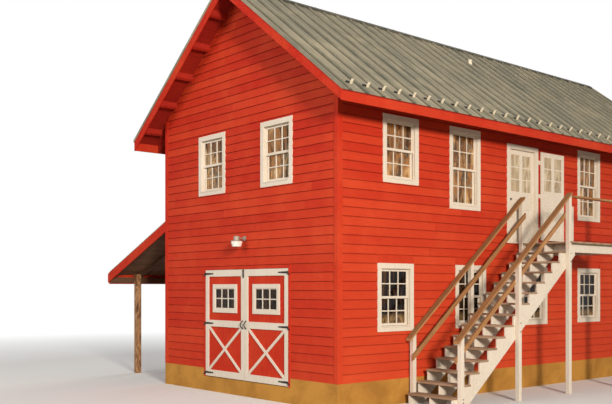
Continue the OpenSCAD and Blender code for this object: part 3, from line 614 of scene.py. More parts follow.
class Stock:
    """A mesh that grows solid by solid and ends as one piece of the barn."""

    def __init__(self, seed: int, place: Matrix | None = None) -> None:
        """Starts an empty mesh.

        Args:
            seed: Seed of the board-by-board shades.
            place: The turn, slant or shift that each new solid gets last.
        """
        self.mesh = bmesh.new()
        self.shades = self.mesh.loops.layers.float_color.new(TINT)
        self.draw = random.Random(seed)
        self.place = place or Matrix.Identity(4)

    def shade(self, verts: Iterable[bmesh.types.BMVert]) -> None:
        """Gives one solid its own shade.

        Args:
            verts: The solid's vertices.
        """
        value = self.draw.random()
        for face in {face for vert in verts for face in vert.link_faces}:
            for loop in face.loops:
                loop[self.shades] = (value, value, value, 1.0)

    def ease(self, edges: list[bmesh.types.BMEdge], width: float,
             clamp: bool = False) -> list[bmesh.types.BMVert]:
        """Bevels edges.

        Args:
            edges: The edges.
            width: Width of the bevels.
            clamp: Whether they are kept from overlapping.

        Returns:
            The vertices of the bevels.
        """
        made = bmesh.ops.bevel(self.mesh, geom=edges, offset=width, offset_type="OFFSET", segments=1,
                               profile=0.5, affect="EDGES", material=-1, clamp_overlap=clamp)
        return list({v for face in made["faces"] for v in face.verts})

    def board(self, low: Point, high: Point, edge: float = 0.0) -> None:
        """Adds a straight board.

        Args:
            low: Its lowest corner.
            high: Its highest corner.
            edge: Width of its bevelled edges.
        """
        size = [high[i] - low[i] for i in range(3)]
        middle = Vector([(high[i] + low[i]) / 2 for i in range(3)])
        box = Matrix.Translation(middle) @ Matrix.Diagonal((*size, 1.0))
        verts = bmesh.ops.create_cube(self.mesh, size=1.0, matrix=box)["verts"]
        if edge:
            verts = self.ease(list({e for v in verts for e in v.link_edges}), edge)
        bmesh.ops.transform(self.mesh, matrix=self.place, verts=verts)
        self.shade(verts)

    def rod(self, start: Point, end: Point, radius: float, sides: int = 16,
            tip: float | None = None) -> None:
        """Adds a round rod or cone.

        Args:
            start: The middle of its first end.
            end: The middle of its second end.
            radius: Its radius.
            sides: Its number of sides.
            tip: The second end's radius, if it differs.
        """
        first, last = (self.place @ Vector(point) for point in (start, end))
        way = last - first
        turn = way.to_track_quat("Z", "Y").to_matrix().to_4x4()
        made = bmesh.ops.create_cone(self.mesh, cap_ends=True, segments=sides, radius1=radius,
                                     radius2=radius if tip is None else tip, depth=way.length,
                                     matrix=Matrix.Translation((first + last) / 2) @ turn)
        self.shade(made["verts"])

    def bend(self, points: list[Point], radius: float) -> None:
        """Adds a bent rod through points, with a ball at each joint.

        Args:
            points: The places it passes.
            radius: Its radius.
        """
        for start, end in zip(points, points[1:]):
            self.rod(start, end, radius, 12)
        for point in points:
            at = Matrix.Translation(self.place @ Vector(point))
            made = bmesh.ops.create_icosphere(self.mesh, subdivisions=2, radius=radius * 1.02, matrix=at)
            self.shade(made["verts"])

    def prism(self, outline: Iterable[Point], way: Point) -> None:
        """Adds a flat outline pushed out along a way.

        Args:
            outline: The outline's corners in order.
            way: How far and where it is pushed.
        """
        face = self.mesh.faces.new([self.mesh.verts.new(point) for point in outline])
        made = bmesh.ops.extrude_face_region(self.mesh, geom=[face], use_keep_orig=True)["geom"]
        moved = [item for item in made if isinstance(item, bmesh.types.BMVert)]
        bmesh.ops.translate(self.mesh, vec=way, verts=moved)
        verts = [*face.verts, *moved]
        bmesh.ops.transform(self.mesh, matrix=self.place, verts=verts)
        self.shade(verts)

    def cut(self, point: Vector, normal: Vector) -> None:
        """Cuts away what lies beyond a plane and closes the cut.

        Args:
            point: A point of the plane.
            normal: The plane's direction, towards what goes.
        """
        geom = [*self.mesh.verts, *self.mesh.edges, *self.mesh.faces]
        made = bmesh.ops.bisect_plane(self.mesh, geom=geom, dist=1e-6, plane_co=point, plane_no=normal,
                                      clear_outer=True)["geom_cut"]
        rim = [e for e in made if isinstance(e, bmesh.types.BMEdge) and e.is_boundary]
        if rim:
            bmesh.ops.holes_fill(self.mesh, edges=rim, sides=0)

    def take(self, node: str, edge: float) -> None:
        """Takes the shape of a CAD node, with its sharp edges eased and a shade for each board.

        Args:
            node: The node.
            edge: Width of the eased edges.
        """
        mesh = self.mesh
        mesh.from_mesh(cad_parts[node].data)
        self.shades = mesh.loops.layers.float_color.get(TINT) or mesh.loops.layers.float_color.new(TINT)
        bmesh.ops.remove_doubles(mesh, verts=mesh.verts, dist=1e-5)
        bmesh.ops.dissolve_limit(mesh, angle_limit=0.01, verts=mesh.verts, edges=mesh.edges)
        sharp = [e for e in mesh.edges if len(e.link_faces) == 2 and e.calc_face_angle(0.0) > 0.5]
        self.ease(sharp, edge, clamp=True)
        seen = set()
        for first in mesh.verts:
            if first in seen:
                continue
            group, reach = {first}, [first]
            while reach:
                vert = reach.pop()
                near = {e.other_vert(vert) for e in vert.link_edges} - group
                group |= near
                reach += near
            seen |= group
            self.shade(group)

    def finish(self, name: str, material: Material, body: str, slot: str, *nodes: str) -> None:
        """Ends the mesh as a flat-shaded piece that rides on a body.

        Args:
            name: The piece's name.
            material: Its finish.
            body: The body that it rides on.
            slot: The record's material slot for the piece; not used.
            nodes: CAD nodes that it stands for.
        """
        bmesh.ops.recalc_face_normals(self.mesh, faces=self.mesh.faces)
        data = bpy.data.meshes.new(name)
        self.mesh.to_mesh(data)
        self.mesh.free()
        for face in data.polygons:
            face.use_smooth = False
        data.materials.append(material)
        piece = put(name, data)
        if nodes:
            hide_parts(*nodes)
        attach(piece, body)
        log.info("%s: %d faces on %s", name, len(data.polygons), body)


# The barn


@dataclass
class Opening:
    """A window or door on a wall, by its casing's outer edges, with x along the wall."""

    wall: Wall
    middle: float
    bottom: float
    top: float
    width: float = 0.985

    @property
    def left(self) -> float:
        """Its left edge along the wall."""
        return self.middle - self.width / 2

    @property
    def right(self) -> float:
        """Its right edge along the wall."""
        return self.middle + self.width / 2


def down_slope(x: float, z: float, side: float, angle: float) -> Matrix:
    """Carries a piece drawn with x down a slope and z off it onto the roof that starts at x and z."""
    return (Matrix.Translation((x, 0, z)) @ Matrix.Diagonal((side, 1.0, 1.0, 1.0))
            @ Matrix.Rotation(angle, 4, "Y"))


@dataclass
class BarnSizes:
    """The barn's main sizes in metres and its pitches in radians, as the CAD has them."""

    width: float = 5.78
    length: float = 12.46
    foundation: float = FOUNDATION_TOP
    ridge: float = 8.2898
    pitch: float = math.radians(37.8)
    eave_out: float = 0.63
    rake_out: float = 0.5
    roof_depth: float = 0.0497
    landing: float = 3.1575
    upper_door: float = 5.503
    upper_reach: float = 0.573
    upper_rise: float = 2.15
    lean_top: float = 3.71
    lean_pitch: float = math.radians(22.6)
    lean_width: float = 2.8
    lean_length: float = 4.2
    door_middle: float = 0.13
    leaf_width: float = 1.385
    leaf_height: float = 2.246
    leaf_bottom: float = 0.32
    frame_reach: float = 1.454
    frame_top: float = 2.631

    @property
    def slope(self) -> float:
        """Rise of the roof over its run."""
        return math.tan(self.pitch)

    def roof(self, x: float) -> float:
        """Height of the metal roof's top at a place from the middle."""
        return self.ridge - self.slope * abs(x)

    def on_slope(self, side: float) -> Matrix:
        """The place of the right slope, at side 1, or the left slope, at side -1."""
        return down_slope(0, self.ridge, side, self.pitch)

    def on_lean_to(self) -> Matrix:
        """The place of the lean-to's roof."""
        return down_slope(-self.width / 2, self.lean_top, -1.0, self.lean_pitch)

    def on_wall(self, wall: Wall) -> Matrix:
        """Carries a piece drawn for the front wall (x along it, y inwards) onto a wall.

        Args:
            wall: The wall.

        Returns:
            The transform.
        """
        half = self.width / 2
        if wall is Wall.LEFT:
            across = Matrix.Scale(-1, 4, (1, 0, 0)) @ Matrix.Rotation(math.radians(90), 4, "Z")
            return Matrix.Translation((-half, 0, 0)) @ across
        shift = {Wall.FRONT: (0, 0, 0), Wall.RIGHT: (half, 0, 0), Wall.REAR: (0, self.length, 0)}[wall]
        return Matrix.Translation(shift) @ Matrix.Rotation(math.radians(wall.value), 4, "Z")

    def doorways(self) -> list[Opening]:
        """The barn doors' frame and the upper door's casing."""
        return [Opening(Wall.FRONT, self.door_middle, 0.0, self.frame_top, 2 * self.frame_reach),
                Opening(Wall.RIGHT, self.upper_door, self.landing, self.landing + self.upper_rise,
                        2 * self.upper_reach)]


SIDE_YS = tuple(1.47 + 2.235 * i for i in range(5))
FRONT_XS = (0.055 - 1.095, 0.055 + 1.095)
REAR_XS = (-1.095, 1.095)
LOW_TOP = 2.655
HIGH_TOP = 5.4445
SHORT = 1.28
TALL = 1.66


def row(wall: Wall, middles: Iterable[float], top: float, height: float = SHORT) -> list[Opening]:
    """Windows of one height and top along a wall."""
    return [Opening(wall, middle, top - height, top) for middle in middles]


def all_windows() -> list[Opening]:
    """Every window of the barn.

    Returns:
        The windows.
    """
    rear = [window for x in REAR_XS for top in (LOW_TOP, HIGH_TOP) for window in row(Wall.REAR, (x,), top)]
    return [
        *row(Wall.FRONT, FRONT_XS, HIGH_TOP),
        *rear,
        *row(Wall.RIGHT, SIDE_YS, LOW_TOP),
        *row(Wall.RIGHT, (1.612,), HIGH_TOP),
        *row(Wall.RIGHT, (3.52, *SIDE_YS[3:]), HIGH_TOP, TALL),
        *row(Wall.LEFT, SIDE_YS[2:], LOW_TOP),
        *row(Wall.LEFT, SIDE_YS, HIGH_TOP),
    ]


@dataclass(frozen=True)
class Lumber:
    """CAD nodes of sawn lumber, shown with eased edges in a finish."""

    finish: str
    slot: str
    nodes: tuple[str, ...]
    body: str = BARN
    edge: float = 0.003

    def build(self, paints: dict[str, Material]) -> None:
        """Builds the eased pieces.

        Args:
            paints: The barn's materials by name.
        """
        for node in self.nodes:
            stock = Stock(len(node))
            stock.take(node, self.edge)
            stock.finish(f"{node}_eased", paints[self.finish], self.body, self.slot, node)


LUMBER = (
    Lumber("red_boards_upright", "red_boards", ("corner_boards", "doorway_frame")),
    Lumber("red_boards_sloped", "red_boards", ("rake_boards", "lean_to_trim")),
    Lumber("shaded_red_lookouts", "red_boards", ("lookouts",)),
    Lumber("red_boards_level", "red_boards", ("eave_boards",)),
    Lumber("white_upright", "white_boards", ("casings", "window_sashes", "newel_posts")),
    Lumber("white_trim", "white_boards", ("stair_stringers", "landing_frame")),
    Lumber("white_trim", "upper_door_white", ("upper_door",)),
    Lumber("white_trim", "storm_door_white", ("storm_door",)),
    Lumber("tread_wood", "bare_wood", ("stair_and_landing_boards",)),
    Lumber("rail_wood", "rail_wood", ("stair_rails",)),
    Lumber("post_wood", "post_wood", ("lean_to_posts",), edge=0.012),
    Lumber("white_upright", "door_white", ("left_door_frame",), LEFT_DOOR),
    Lumber("white_upright", "door_white", ("right_door_frame",), RIGHT_DOOR),
)


@dataclass
class Siding:
    """Red clapboards on the four walls, course by course between the openings."""

    sizes: BarnSizes
    openings: list[Opening]
    course: float = COURSE
    butt: float = 0.019
    tip: float = 0.003
    back: float = 0.008
    corner: float = 0.09
    longest: float = 3.6
    joint: float = 0.0015
    overlap: float = 0.002
    under_roof: float = 0.002

    def runs(self, wall: Wall, low: float, high: float, start: float,
             end: float) -> list[tuple[float, float]]:
        """The stretches of board in a course or a part of its height.

        Args:
            wall: The wall.
            low: The bottom.
            high: The top.
            start: Where the wall starts.
            end: Where it ends.

        Returns:
            Start and end of each stretch.
        """
        gaps = sorted((o.left, o.right) for o in self.openings
                      if o.wall is wall and o.bottom < high - self.overlap and o.top > low + self.overlap)
        found, at = [], start
        for left, right in gaps:
            if left > at:
                found.append((at, min(left, end)))
            at = max(at, right)
        if at < end:
            found.append((at, end))
        return found

    def lap(self, rise: float) -> float:
        """How far a board stands off the wall at a height over the foot of its course."""
        return self.tip + (self.butt - self.tip) * (1 - rise / self.course)

    def nail(self, stock: Stock, a: float, b: float, low: float, high: float, foot: float) -> None:
        """Fills one stretch with boards of random length.

        Args:
            stock: The mesh.
            a: Where the stretch starts.
            b: Where it ends.
            low: Its bottom.
            high: Its top.
            foot: The bottom of the whole course.
        """
        thick, thin = self.lap(low - foot), self.lap(high - foot)
        slant = Matrix.Identity(4)
        slant[1][2] = (thick - thin) / (high - low)
        slant[1][3] = -slant[1][2] * low - thick
        stock.place = slant
        at = a
        while at < b - 1e-6:
            length = stock.draw.uniform(0.55, 1.0) * self.longest
            end = b if b - at < length + 0.5 else at + length
            stock.board((at, 0.0, low), (end - self.joint, self.back, high))
            at = end

    def lay(self, wall: Wall) -> Stock:
        """Lays the boards of one wall.

        Args:
            wall: The wall.

        Returns:
            The mesh, in the front wall's place.
        """
        size = self.sizes
        stock = Stock(wall.value + 7)
        across = wall in (Wall.FRONT, Wall.REAR)
        half = size.width / 2 - self.corner
        start, end = (-half, half) if across else (self.corner, size.length - self.corner)
        top = size.ridge - 0.06 if across else size.roof(size.width / 2) - 0.055
        levels = [z for o in self.openings if o.wall is wall for z in (o.bottom, o.top)]
        foot = size.foundation
        while foot < top - 0.01:
            head = min(foot + self.course, top)
            cuts = sorted({foot, head, *[z for z in levels if foot + 0.004 < z < head - 0.004]})
            for low, high in zip(cuts, cuts[1:]):
                for a, b in self.runs(wall, low, high, start, end):
                    self.nail(stock, a, b, low, high, foot)
            foot = head
        if across:
            for side in (-1, 1):
                stock.cut(Vector((0, 0, size.ridge - size.roof_depth - self.under_roof)),
                          Vector((side * size.slope, 0, 1)).normalized())
        return stock

    def build(self, finish: Material) -> None:
        """Builds the siding of all the walls.

        Args:
            finish: The paint.
        """
        for wall in Wall:
            stock = self.lay(wall)
            bmesh.ops.transform(stock.mesh, matrix=self.sizes.on_wall(wall), verts=stock.mesh.verts)
            stock.finish(f"clapboards_{wall.name.lower()}", finish, BARN, "red_boards")


@dataclass
class Sashwork:
    """Glazing bars and sills of the double-hung windows, three lights wide and two high to a sash."""

    sizes: BarnSizes
    windows: list[Opening]
    bar: float = 0.022
    depth: float = 0.018
    casing: float = 0.075
    lining: float = 0.028
    rail: float = 0.048
    thick: float = 0.035
    back: float = 0.035
    edge: float = 0.003
    sill_pitch: float = math.radians(8)
    stop: float = 0.012

    def bars(self, stock: Stock, window: Opening) -> None:
        """Adds the bars of both sashes.

        Args:
            stock: The mesh, in the wall's place.
            window: The window.
        """
        half = window.width / 2 - self.casing - self.lining
        tall = (window.top - window.bottom) / 2 - self.casing - self.lining
        middle = (window.top + window.bottom) / 2
        inner = half - self.rail
        high = (tall - 1.5 * self.rail) / 2
        for upper in (0, 1):
            z = middle + (upper - 0.5) * (tall - self.rail / 2)
            y = self.back + (1 - upper) * (self.thick + 0.002) + self.thick / 2 - 0.003
            for i in (1, 2):
                x = window.middle - inner + 2 * inner * i / 3
                stock.board((x - self.bar / 2, y - self.depth, z - high),
                            (x + self.bar / 2, y + 0.004, z + high), self.edge)
            stock.board((window.middle - inner, y - self.depth + 0.001, z - self.bar / 2),
                        (window.middle + inner, y + 0.003, z + self.bar / 2), self.edge)

    def sill(self, stock: Stock, window: Opening) -> None:
        """Adds the sloping sill between the casings, and the stops beside the sashes.

        Args:
            stock: The mesh, in the wall's place.
            window: The window.
        """
        half = window.width / 2 - self.casing - self.lining
        foot, head = window.bottom + self.casing + self.lining, window.top - self.casing - self.lining
        wall = stock.place
        stock.place = wall @ Matrix.Translation((0, 0, foot)) @ Matrix.Rotation(self.sill_pitch, 4, "X")
        stock.board((window.middle - half, -0.036, -0.022), (window.middle + half, 0.034, 0.004), self.edge)
        stock.place = wall
        for side in (-1, 1):
            x = window.middle + side * (half - self.stop / 2)
            stock.board((x - self.stop / 2, 0.018, foot), (x + self.stop / 2, self.back, head), EASED)

    def build(self, finish: Material) -> None:
        """Builds the bars and sills of every window.

        Args:
            finish: The paint.
        """
        stock = Stock(3)
        for window in self.windows:
            stock.place = self.sizes.on_wall(window.wall)
            self.bars(stock, window)
            self.sill(stock, window)
        stock.finish("window_bars_and_sills", finish, BARN, "white_boards")


@dataclass
class GlazedDoor:
    """Glass, bars, raised fields and a knob on one of the landing's doors.

    Each of the knob's turnings has a start and an end off the face, a radius at each, and its sides.
    """

    name: str
    middle: float
    face: float
    foot: float
    width: float
    height: float
    knob_side: int
    kick_share: float = 0.36
    sill: float = 1.11
    rail: float = 0.11
    recess: float = 0.008
    bar: float = 0.022
    margin: float = 0.03
    knob_height: float = 0.93
    knob_in: float = 0.055
    knob: tuple[tuple[float, float, float, float, int], ...] = (
        (0.002, -0.008, 0.03, 0.03, 24),
        (-0.008, -0.032, 0.011, 0.011, 16),
        (-0.032, -0.052, 0.026, 0.019, 24))

    def fields(self) -> list[tuple[float, float]]:
        """Left and right edges of the two columns of fields.

        Returns:
            The edges of each column.
        """
        half = (self.width - 3 * self.rail) / 4
        step = (self.width - self.rail) / 4
        return [(self.middle + side * step - half, self.middle + side * step + half) for side in (-1, 1)]

    def build(self, sizes: BarnSizes, glass: Material, paint: Material, iron: Material) -> None:
        """Builds the pieces of the door.

        Args:
            sizes: The barn's sizes.
            glass: The panes' finish.
            paint: The paint of the bars and fields.
            iron: The knob's finish.
        """
        panes, wood, metal = (Stock(seed, sizes.on_wall(Wall.RIGHT)) for seed in (21, 22, 23))
        face, back, edge = self.face, self.face + self.recess, self.margin
        kick = self.height * self.kick_share
        low, high = self.foot + self.sill, self.foot + self.height - self.rail
        for x0, x1 in self.fields():
            wood.board((x0, face + 0.001, self.foot + kick + self.rail), (x1, back, low))
            panes.board((x0, face + 0.004, low), (x1, back + 0.001, high))
            for i in (1, 2):
                z = low + (high - low) * i / 3
                wood.board((x0, face, z - self.bar / 2), (x1, face + 0.006, z + self.bar / 2), EASED)
            wood.board((x0 + edge, face + 0.001, self.foot + 1.5 * self.rail + edge),
                       (x1 - edge, back + 0.004, self.foot + kick - edge), 0.005)
        x, z = self.middle + self.knob_side * (self.width / 2 - self.knob_in), self.foot + self.knob_height
        for start, end, radius, tip, sides in self.knob:
            metal.rod((x, face + start, z), (x, face + end, z), radius, sides, tip)
        panes.finish(f"{self.name}_glass", glass, BARN, "window_glass")
        wood.finish(f"{self.name}_bars", paint, BARN, f"{self.name}_white")
        metal.finish(f"{self.name}_knob", iron, BARN, "black_iron")


@dataclass
class BarnLeaf:
    """Window bars, strap hinges and the pull of one of the two hinged leaves.

    The strap's outline has places along it and the share of its half width there.
    """

    sizes: BarnSizes
    left: bool
    face: float = -0.024
    gap: float = 0.004
    pane_z: float = 1.6505
    pane_half: tuple[float, float] = (0.3425, 0.2095)
    pane_sides: tuple[tuple[float, float], ...] = ((-0.013, -0.0003), (0.0063, 0.018))
    bar: float = 0.013
    level_bar: float = 0.011
    stop: float = 0.007
    hinges: tuple[float, ...] = (0.076, 1.124, 2.17)
    strap: float = 0.0225
    outline: tuple[tuple[float, float], ...] = (
        (-0.005, 1.0), (0.205, 0.72), (0.248, 0.42), (0.268, 0.8), (0.3, 0.0))
    strap_bolts: tuple[float, ...] = (0.045, 0.115, 0.185)
    pin: tuple[float, float] = (-0.005, -0.038)
    pull_in: float = 0.056
    pull_half: float = 0.075
    pull_bow: float = 0.05
    pull_steps: int = 10
    bolt_in: float = 0.026

    @property
    def body(self) -> str:
        """The body that the leaf is."""
        return LEFT_DOOR if self.left else RIGHT_DOOR

    @property
    def place(self) -> Matrix:
        """The transform from the leaf, with its hinge edge at x = 0, to the closed doorway."""
        size, side = self.sizes, -1 if self.left else 1
        edge = size.door_middle + side * (size.leaf_width + self.gap)
        return Matrix.Translation((edge, 0, size.leaf_bottom)) @ Matrix.Diagonal((-side, 1.0, 1.0, 1.0))

    def bars(self, stock: Stock) -> None:
        """Adds the bars and the stops round the glass, on both faces.

        Args:
            stock: The mesh.
        """
        x, z = self.sizes.leaf_width / 2, self.pane_z
        w, h = self.pane_half
        for y0, y1 in self.pane_sides:
            for side in (-1, 1):
                for at, half in ((x + side * w / 3, self.bar), (x + side * (w - self.stop), self.stop)):
                    stock.board((at - half, y0, z - h), (at + half, y1, z + h), EASED)
                at = z + side * (h - self.stop)
                stock.board((x - w, y0 + 0.001, at - self.stop), (x + w, y1 - 0.001, at + self.stop), EASED)
            stock.board((x - w, y0 + 0.001, z - self.level_bar), (x + w, y1 - 0.001, z + self.level_bar),
                        EASED)

    def hinge(self, stock: Stock, z: float) -> None:
        """Adds a strap that narrows to a spear tip, its eye and its bolts.

        Args:
            stock: The mesh.
            z: The strap's height on the leaf.
        """
        upper = [(x, self.strap * share) for x, share in self.outline]
        lower = [(x, -half) for x, half in reversed(upper[:-1])]
        stock.prism([(x, self.face, z + half) for x, half in upper + lower], (0, -0.006, 0))
        stock.rod((*self.pin, z - self.strap), (*self.pin, z + self.strap), 0.01, 20)
        for x in self.strap_bolts:
            stock.rod((x, self.face - 0.004, z), (x, self.face - 0.012, z), 0.009, 12, 0.005)

    def pull(self, stock: Stock, plate: Stock) -> None:
        """Adds the curved pull and the painted plate that it stands on.

        Args:
            stock: The mesh of the ironwork.
            plate: The mesh of the painted plate.
        """
        x, z, face = self.sizes.leaf_width - self.pull_in, self.hinges[1], self.face
        plate.board((x - 0.012, face - 0.003, z - 0.095), (x + 0.012, face, z + 0.095), 0.001)
        shares = [i / self.pull_steps for i in range(self.pull_steps + 1)]
        stock.bend([(x, face - 0.004 - self.pull_bow * math.sin(math.pi * share) ** 0.7,
                     z + self.pull_half * (2 * share - 1)) for share in shares], 0.0105)
        for end in (z - self.pull_half, z + self.pull_half):
            stock.rod((x, face - 0.002, end), (x, face - 0.011, end), 0.017, 16, 0.012)

    def bolt(self, stock: Stock) -> None:
        """Adds the upright surface bolt at the top of the left leaf's meeting edge.

        Args:
            stock: The mesh.
        """
        x, top, face = self.sizes.leaf_width - self.bolt_in, self.sizes.leaf_height - 0.004, self.face
        stock.board((x - 0.02, face - 0.005, top - 0.17), (x + 0.02, face, top), 0.0015)
        stock.rod((x, face - 0.013, top - 0.165), (x, face - 0.013, top), 0.008, 16)
        for down in (0.03, 0.1):
            stock.board((x - 0.013, face - 0.022, top - down - 0.018), (x + 0.013, face, top - down), EASED)

    def build(self, paint: Material, iron: Material) -> None:
        """Builds the leaf's bars and ironwork.

        Args:
            paint: The bars' paint.
            iron: The ironwork's finish.
        """
        bars, ironwork, plate = (Stock(seed, self.place) for seed in (31, 32, 33))
        self.bars(bars)
        for z in self.hinges:
            self.hinge(ironwork, z)
        self.pull(ironwork, plate)
        if self.left:
            self.bolt(ironwork)
        bars.finish(f"{self.body}_window_bars", paint, self.body, "door_white")
        plate.finish(f"{self.body}_pull_plate", paint, self.body, "door_white")
        ironwork.finish(f"{self.body}_hinges_and_pull", iron, self.body, "black_iron",
                        f"{self.body}_ironwork")


@dataclass
class SheetRoof:
    """Standing seams, stiffening ribs and snow guards on one slope of sheet roofing."""

    name: str
    place: Matrix
    top: float
    reach: float
    start: float
    end: float
    guards_at: float = 0.0
    seam: float = 0.036
    seam_half: float = 0.006
    rib_half: float = 0.012

    def seams(self) -> list[float]:
        """Places of the seams along the roof, the two edges among them.

        Returns:
            The places.
        """
        count = int((self.end - self.start) / SEAM_STEP) + 2
        inner = [FIRST_SEAM + SEAM_STEP * i for i in range(-2, count)]
        inner = [y for y in inner if self.start + 0.08 < y < self.end - 0.08]
        return [self.start + self.rib_half, *inner, self.end - self.rib_half]

    def strip(self, stock: Stock, y: float, half: float, low: float, high: float, edge: float) -> None:
        """Adds a strip that runs down the slope at y, between two heights off it."""
        stock.board((self.top, y - half, low), (self.reach, y + half, high), edge)

    def guard(self, guards: Stock, shade_blocks: Stock, y: float) -> None:
        """Adds a snow guard: a foot, a tall upright plate and a gusset, with a dark block at its side as
        painted shade.

        Args:
            guards: The mesh of the pale pieces.
            shade_blocks: The mesh of the dark blocks, which are painted shade.
            y: Its place along the roof.
        """
        guards.place = shade_blocks.place = self.place @ Matrix.Translation((self.guards_at, y, 0))
        guards.board((-0.06, -0.022, 0.0), (0.0, 0.026, 0.006), EASED)
        guards.board((-0.012, -0.026, 0.0), (0.0, 0.03, 0.098), 0.003)
        guards.prism(((-0.055, -0.004, 0.004), (-0.006, -0.004, 0.004), (-0.006, -0.004, 0.08)),
                     (0, 0.008, 0))
        # Painted shade: a dark block beside the upright plate.
        shade_blocks.board((-0.045, -0.1, 0.0), (-0.008, -0.026, 0.034), 0.004)

    def build(self, metal: Material, pale: Material, dark: Material) -> None:
        """Builds the seams and ribs, and the guards if the slope has them.

        Args:
            metal: The roofing.
            pale: The guards' finish.
            dark: The finish of the dark blocks beside the guards, which are painted shade.
        """
        stock, places = Stock(11, self.place), self.seams()
        for y in places:
            self.strip(stock, y, self.seam_half, 0.0, self.seam, EASED)
            self.strip(stock, y, self.rib_half, self.seam - 0.008, self.seam, EASED)
        for y, after in zip(places, places[1:]):
            for share in (1 / 3, 2 / 3):
                self.strip(stock, y + (after - y) * share, self.rib_half, -0.004, 0.005, 0.004)
        stock.finish(f"{self.name}_seams", metal, BARN, "roof_metal")
        if self.guards_at:
            guards, shade_blocks = Stock(12), Stock(13)
            for y, after in zip(places[1:], places[2:]):
                self.guard(guards, shade_blocks, (y + after) / 2)
            guards.finish(f"{self.name}_snow_guards", pale, BARN, "roof_metal")
            shade_blocks.finish(f"{self.name}_guard_clamps", dark, BARN, "roof_metal")


def sheet_roofs(sizes: BarnSizes) -> list[SheetRoof]:
    """The barn's two slopes and the lean-to's roof.

    Args:
        sizes: The barn's sizes.

    Returns:
        The slopes.
    """
    reach = (sizes.width / 2 + sizes.eave_out) / math.cos(sizes.pitch) - 0.004
    low_reach = sizes.lean_width / math.cos(sizes.lean_pitch) - 0.02
    start, end = -sizes.rake_out, sizes.length + sizes.rake_out
    found = [SheetRoof(name, sizes.on_slope(side), 0.15, reach, start, end, 4.2)
             for side, name in ((1.0, "right_slope"), (-1.0, "left_slope"))]
    found.append(SheetRoof("lean_to_slope", sizes.on_lean_to(), 0.02, low_reach, 0.0, sizes.lean_length))
    return found


@dataclass
class RidgeClosures:
    """Raised closure strips that hide the seams' top ends along both edges of the ridge cap."""

    sizes: BarnSizes
    top: float = 0.05
    reach: float = 0.152
    lip: float = 0.012
    high: float = 0.04
    sheet: float = 2.44
    inset: float = 0.002

    def build(self, finish: Material) -> None:
        """Builds the strips and the cap's overlaps.

        Args:
            finish: The roofing.
        """
        size, stock, edge, high = self.sizes, Stock(13), self.reach + self.lip, self.high
        start, end = -size.rake_out + self.inset, size.length + size.rake_out - self.inset
        for side in (1.0, -1.0):
            stock.place = size.on_slope(side)
            stock.board((self.reach - 0.004, start, 0.0), (edge, end, high), EASED)
            stock.board((self.top, start, high - 0.006), (edge, end, high), EASED)
            y = start + self.sheet
            while y < end:
                stock.board((self.top, y - 0.012, high), (edge, y + 0.012, high + 0.004), 0.0015)
                y += self.sheet
        stock.finish("ridge_closures", finish, BARN, "roof_metal")


@dataclass
class LeanToSheathing:
    """Bare boards along the underside of the lean-to's roof."""

    sizes: BarnSizes
    board: float = BOARD_STEP
    joint: float = 0.004
    under: float = 0.036
    inset: float = 0.003

    def build(self, finish: Material) -> None:
        """Builds the boards.

        Args:
            finish: The wood.
        """
        size, stock = self.sizes, Stock(14, self.sizes.on_lean_to())
        x, end = 0.045, size.lean_width / math.cos(size.lean_pitch) - 0.06
        while x < end:
            after = min(x + self.board - self.joint, end)
            stock.board((x, self.inset, -self.under - 0.005),
                        (after, size.lean_length - self.inset, -self.under + 0.001), 0.0015)
            x += self.board
        stock.finish("lean_to_sheathing", finish, BARN, "frame_wood")


@dataclass
class RoofVent:
    """A short pipe through the right slope, with its flashing and cap.

    Each of its rounds has a start and an end over the foot, and a radius at each.
    """

    sizes: BarnSizes
    x: float = 0.76
    y: float = 6.37
    sunk: float = 0.05
    rounds: tuple[tuple[float, float, float, float], ...] = (
        (0.0, 0.12, 0.045, 0.045), (-0.05, 0.07, 0.08, 0.049), (0.112, 0.13, 0.051, 0.051))

    def build(self, finish: Material) -> None:
        """Builds the pipe.

        Args:
            finish: Its finish.
        """
        stock = Stock(41, Matrix.Translation((self.x, self.y, self.sizes.roof(self.x) - self.sunk)))
        for start, end, radius, tip in self.rounds:
            stock.rod((0, 0, start), (0, 0, end), radius, 24, tip)
        stock.finish("roof_vent", finish, BARN, "lamp_white")


@dataclass
class LampLens:
    """The lamp's ribbed glass lens, set over its tapered core."""

    middle: Point = (0.13, -0.214, 3.017)
    low: float = 0.0848
    high: float = 0.1126
    tall: float = 0.106
    ribs: int = 32
    rib: float = 0.0022

    def build(self, finish: Material) -> None:
        """Builds the lens and its ribs.

        Args:
            finish: The glass.
        """
        stock = Stock(51, Matrix.Translation(self.middle))
        stock.rod((0, 0, 0.002), (0, 0, self.tall), self.low, 48, self.high)
        for i in range(self.ribs):
            x, y = math.cos(math.tau * i / self.ribs), math.sin(math.tau * i / self.ribs)
            stock.rod((x * self.low, y * self.low, 0.006), (x * self.high, y * self.high, self.tall),
                      self.rib, 6)
        stock.finish("lamp_lens", finish, BARN, "lamp_white")


@dataclass
class StairBolts:
    """Carriage bolts that hold the newels to the stringers."""

    run: float = 0.2624
    rise: float = 0.2105
    foot: float = 1.668
    newels: tuple[float, ...] = (1.85, 3.59, 5.33)
    faces: tuple[tuple[float, float], ...] = ((4.193, 1.0), (2.95, -1.0))
    beside: float = 0.015
    lowest: float = 0.08

    def build(self, finish: Material) -> None:
        """Builds the bolt heads.

        Args:
            finish: Their finish.
        """
        stock = Stock(61)
        for x, way in self.faces:
            for newel in self.newels:
                top, y = (newel - self.foot) / self.run * self.rise, newel + self.beside * way
                for down in (0.03, 0.2):
                    z = max(top - down, self.lowest + down / 2)
                    stock.rod((x, y, z), (x + 0.007 * way, y, z), 0.014, 14, 0.008)
        stock.finish("stair_bolts", finish, BARN, "black_iron")


# Light, floor and camera


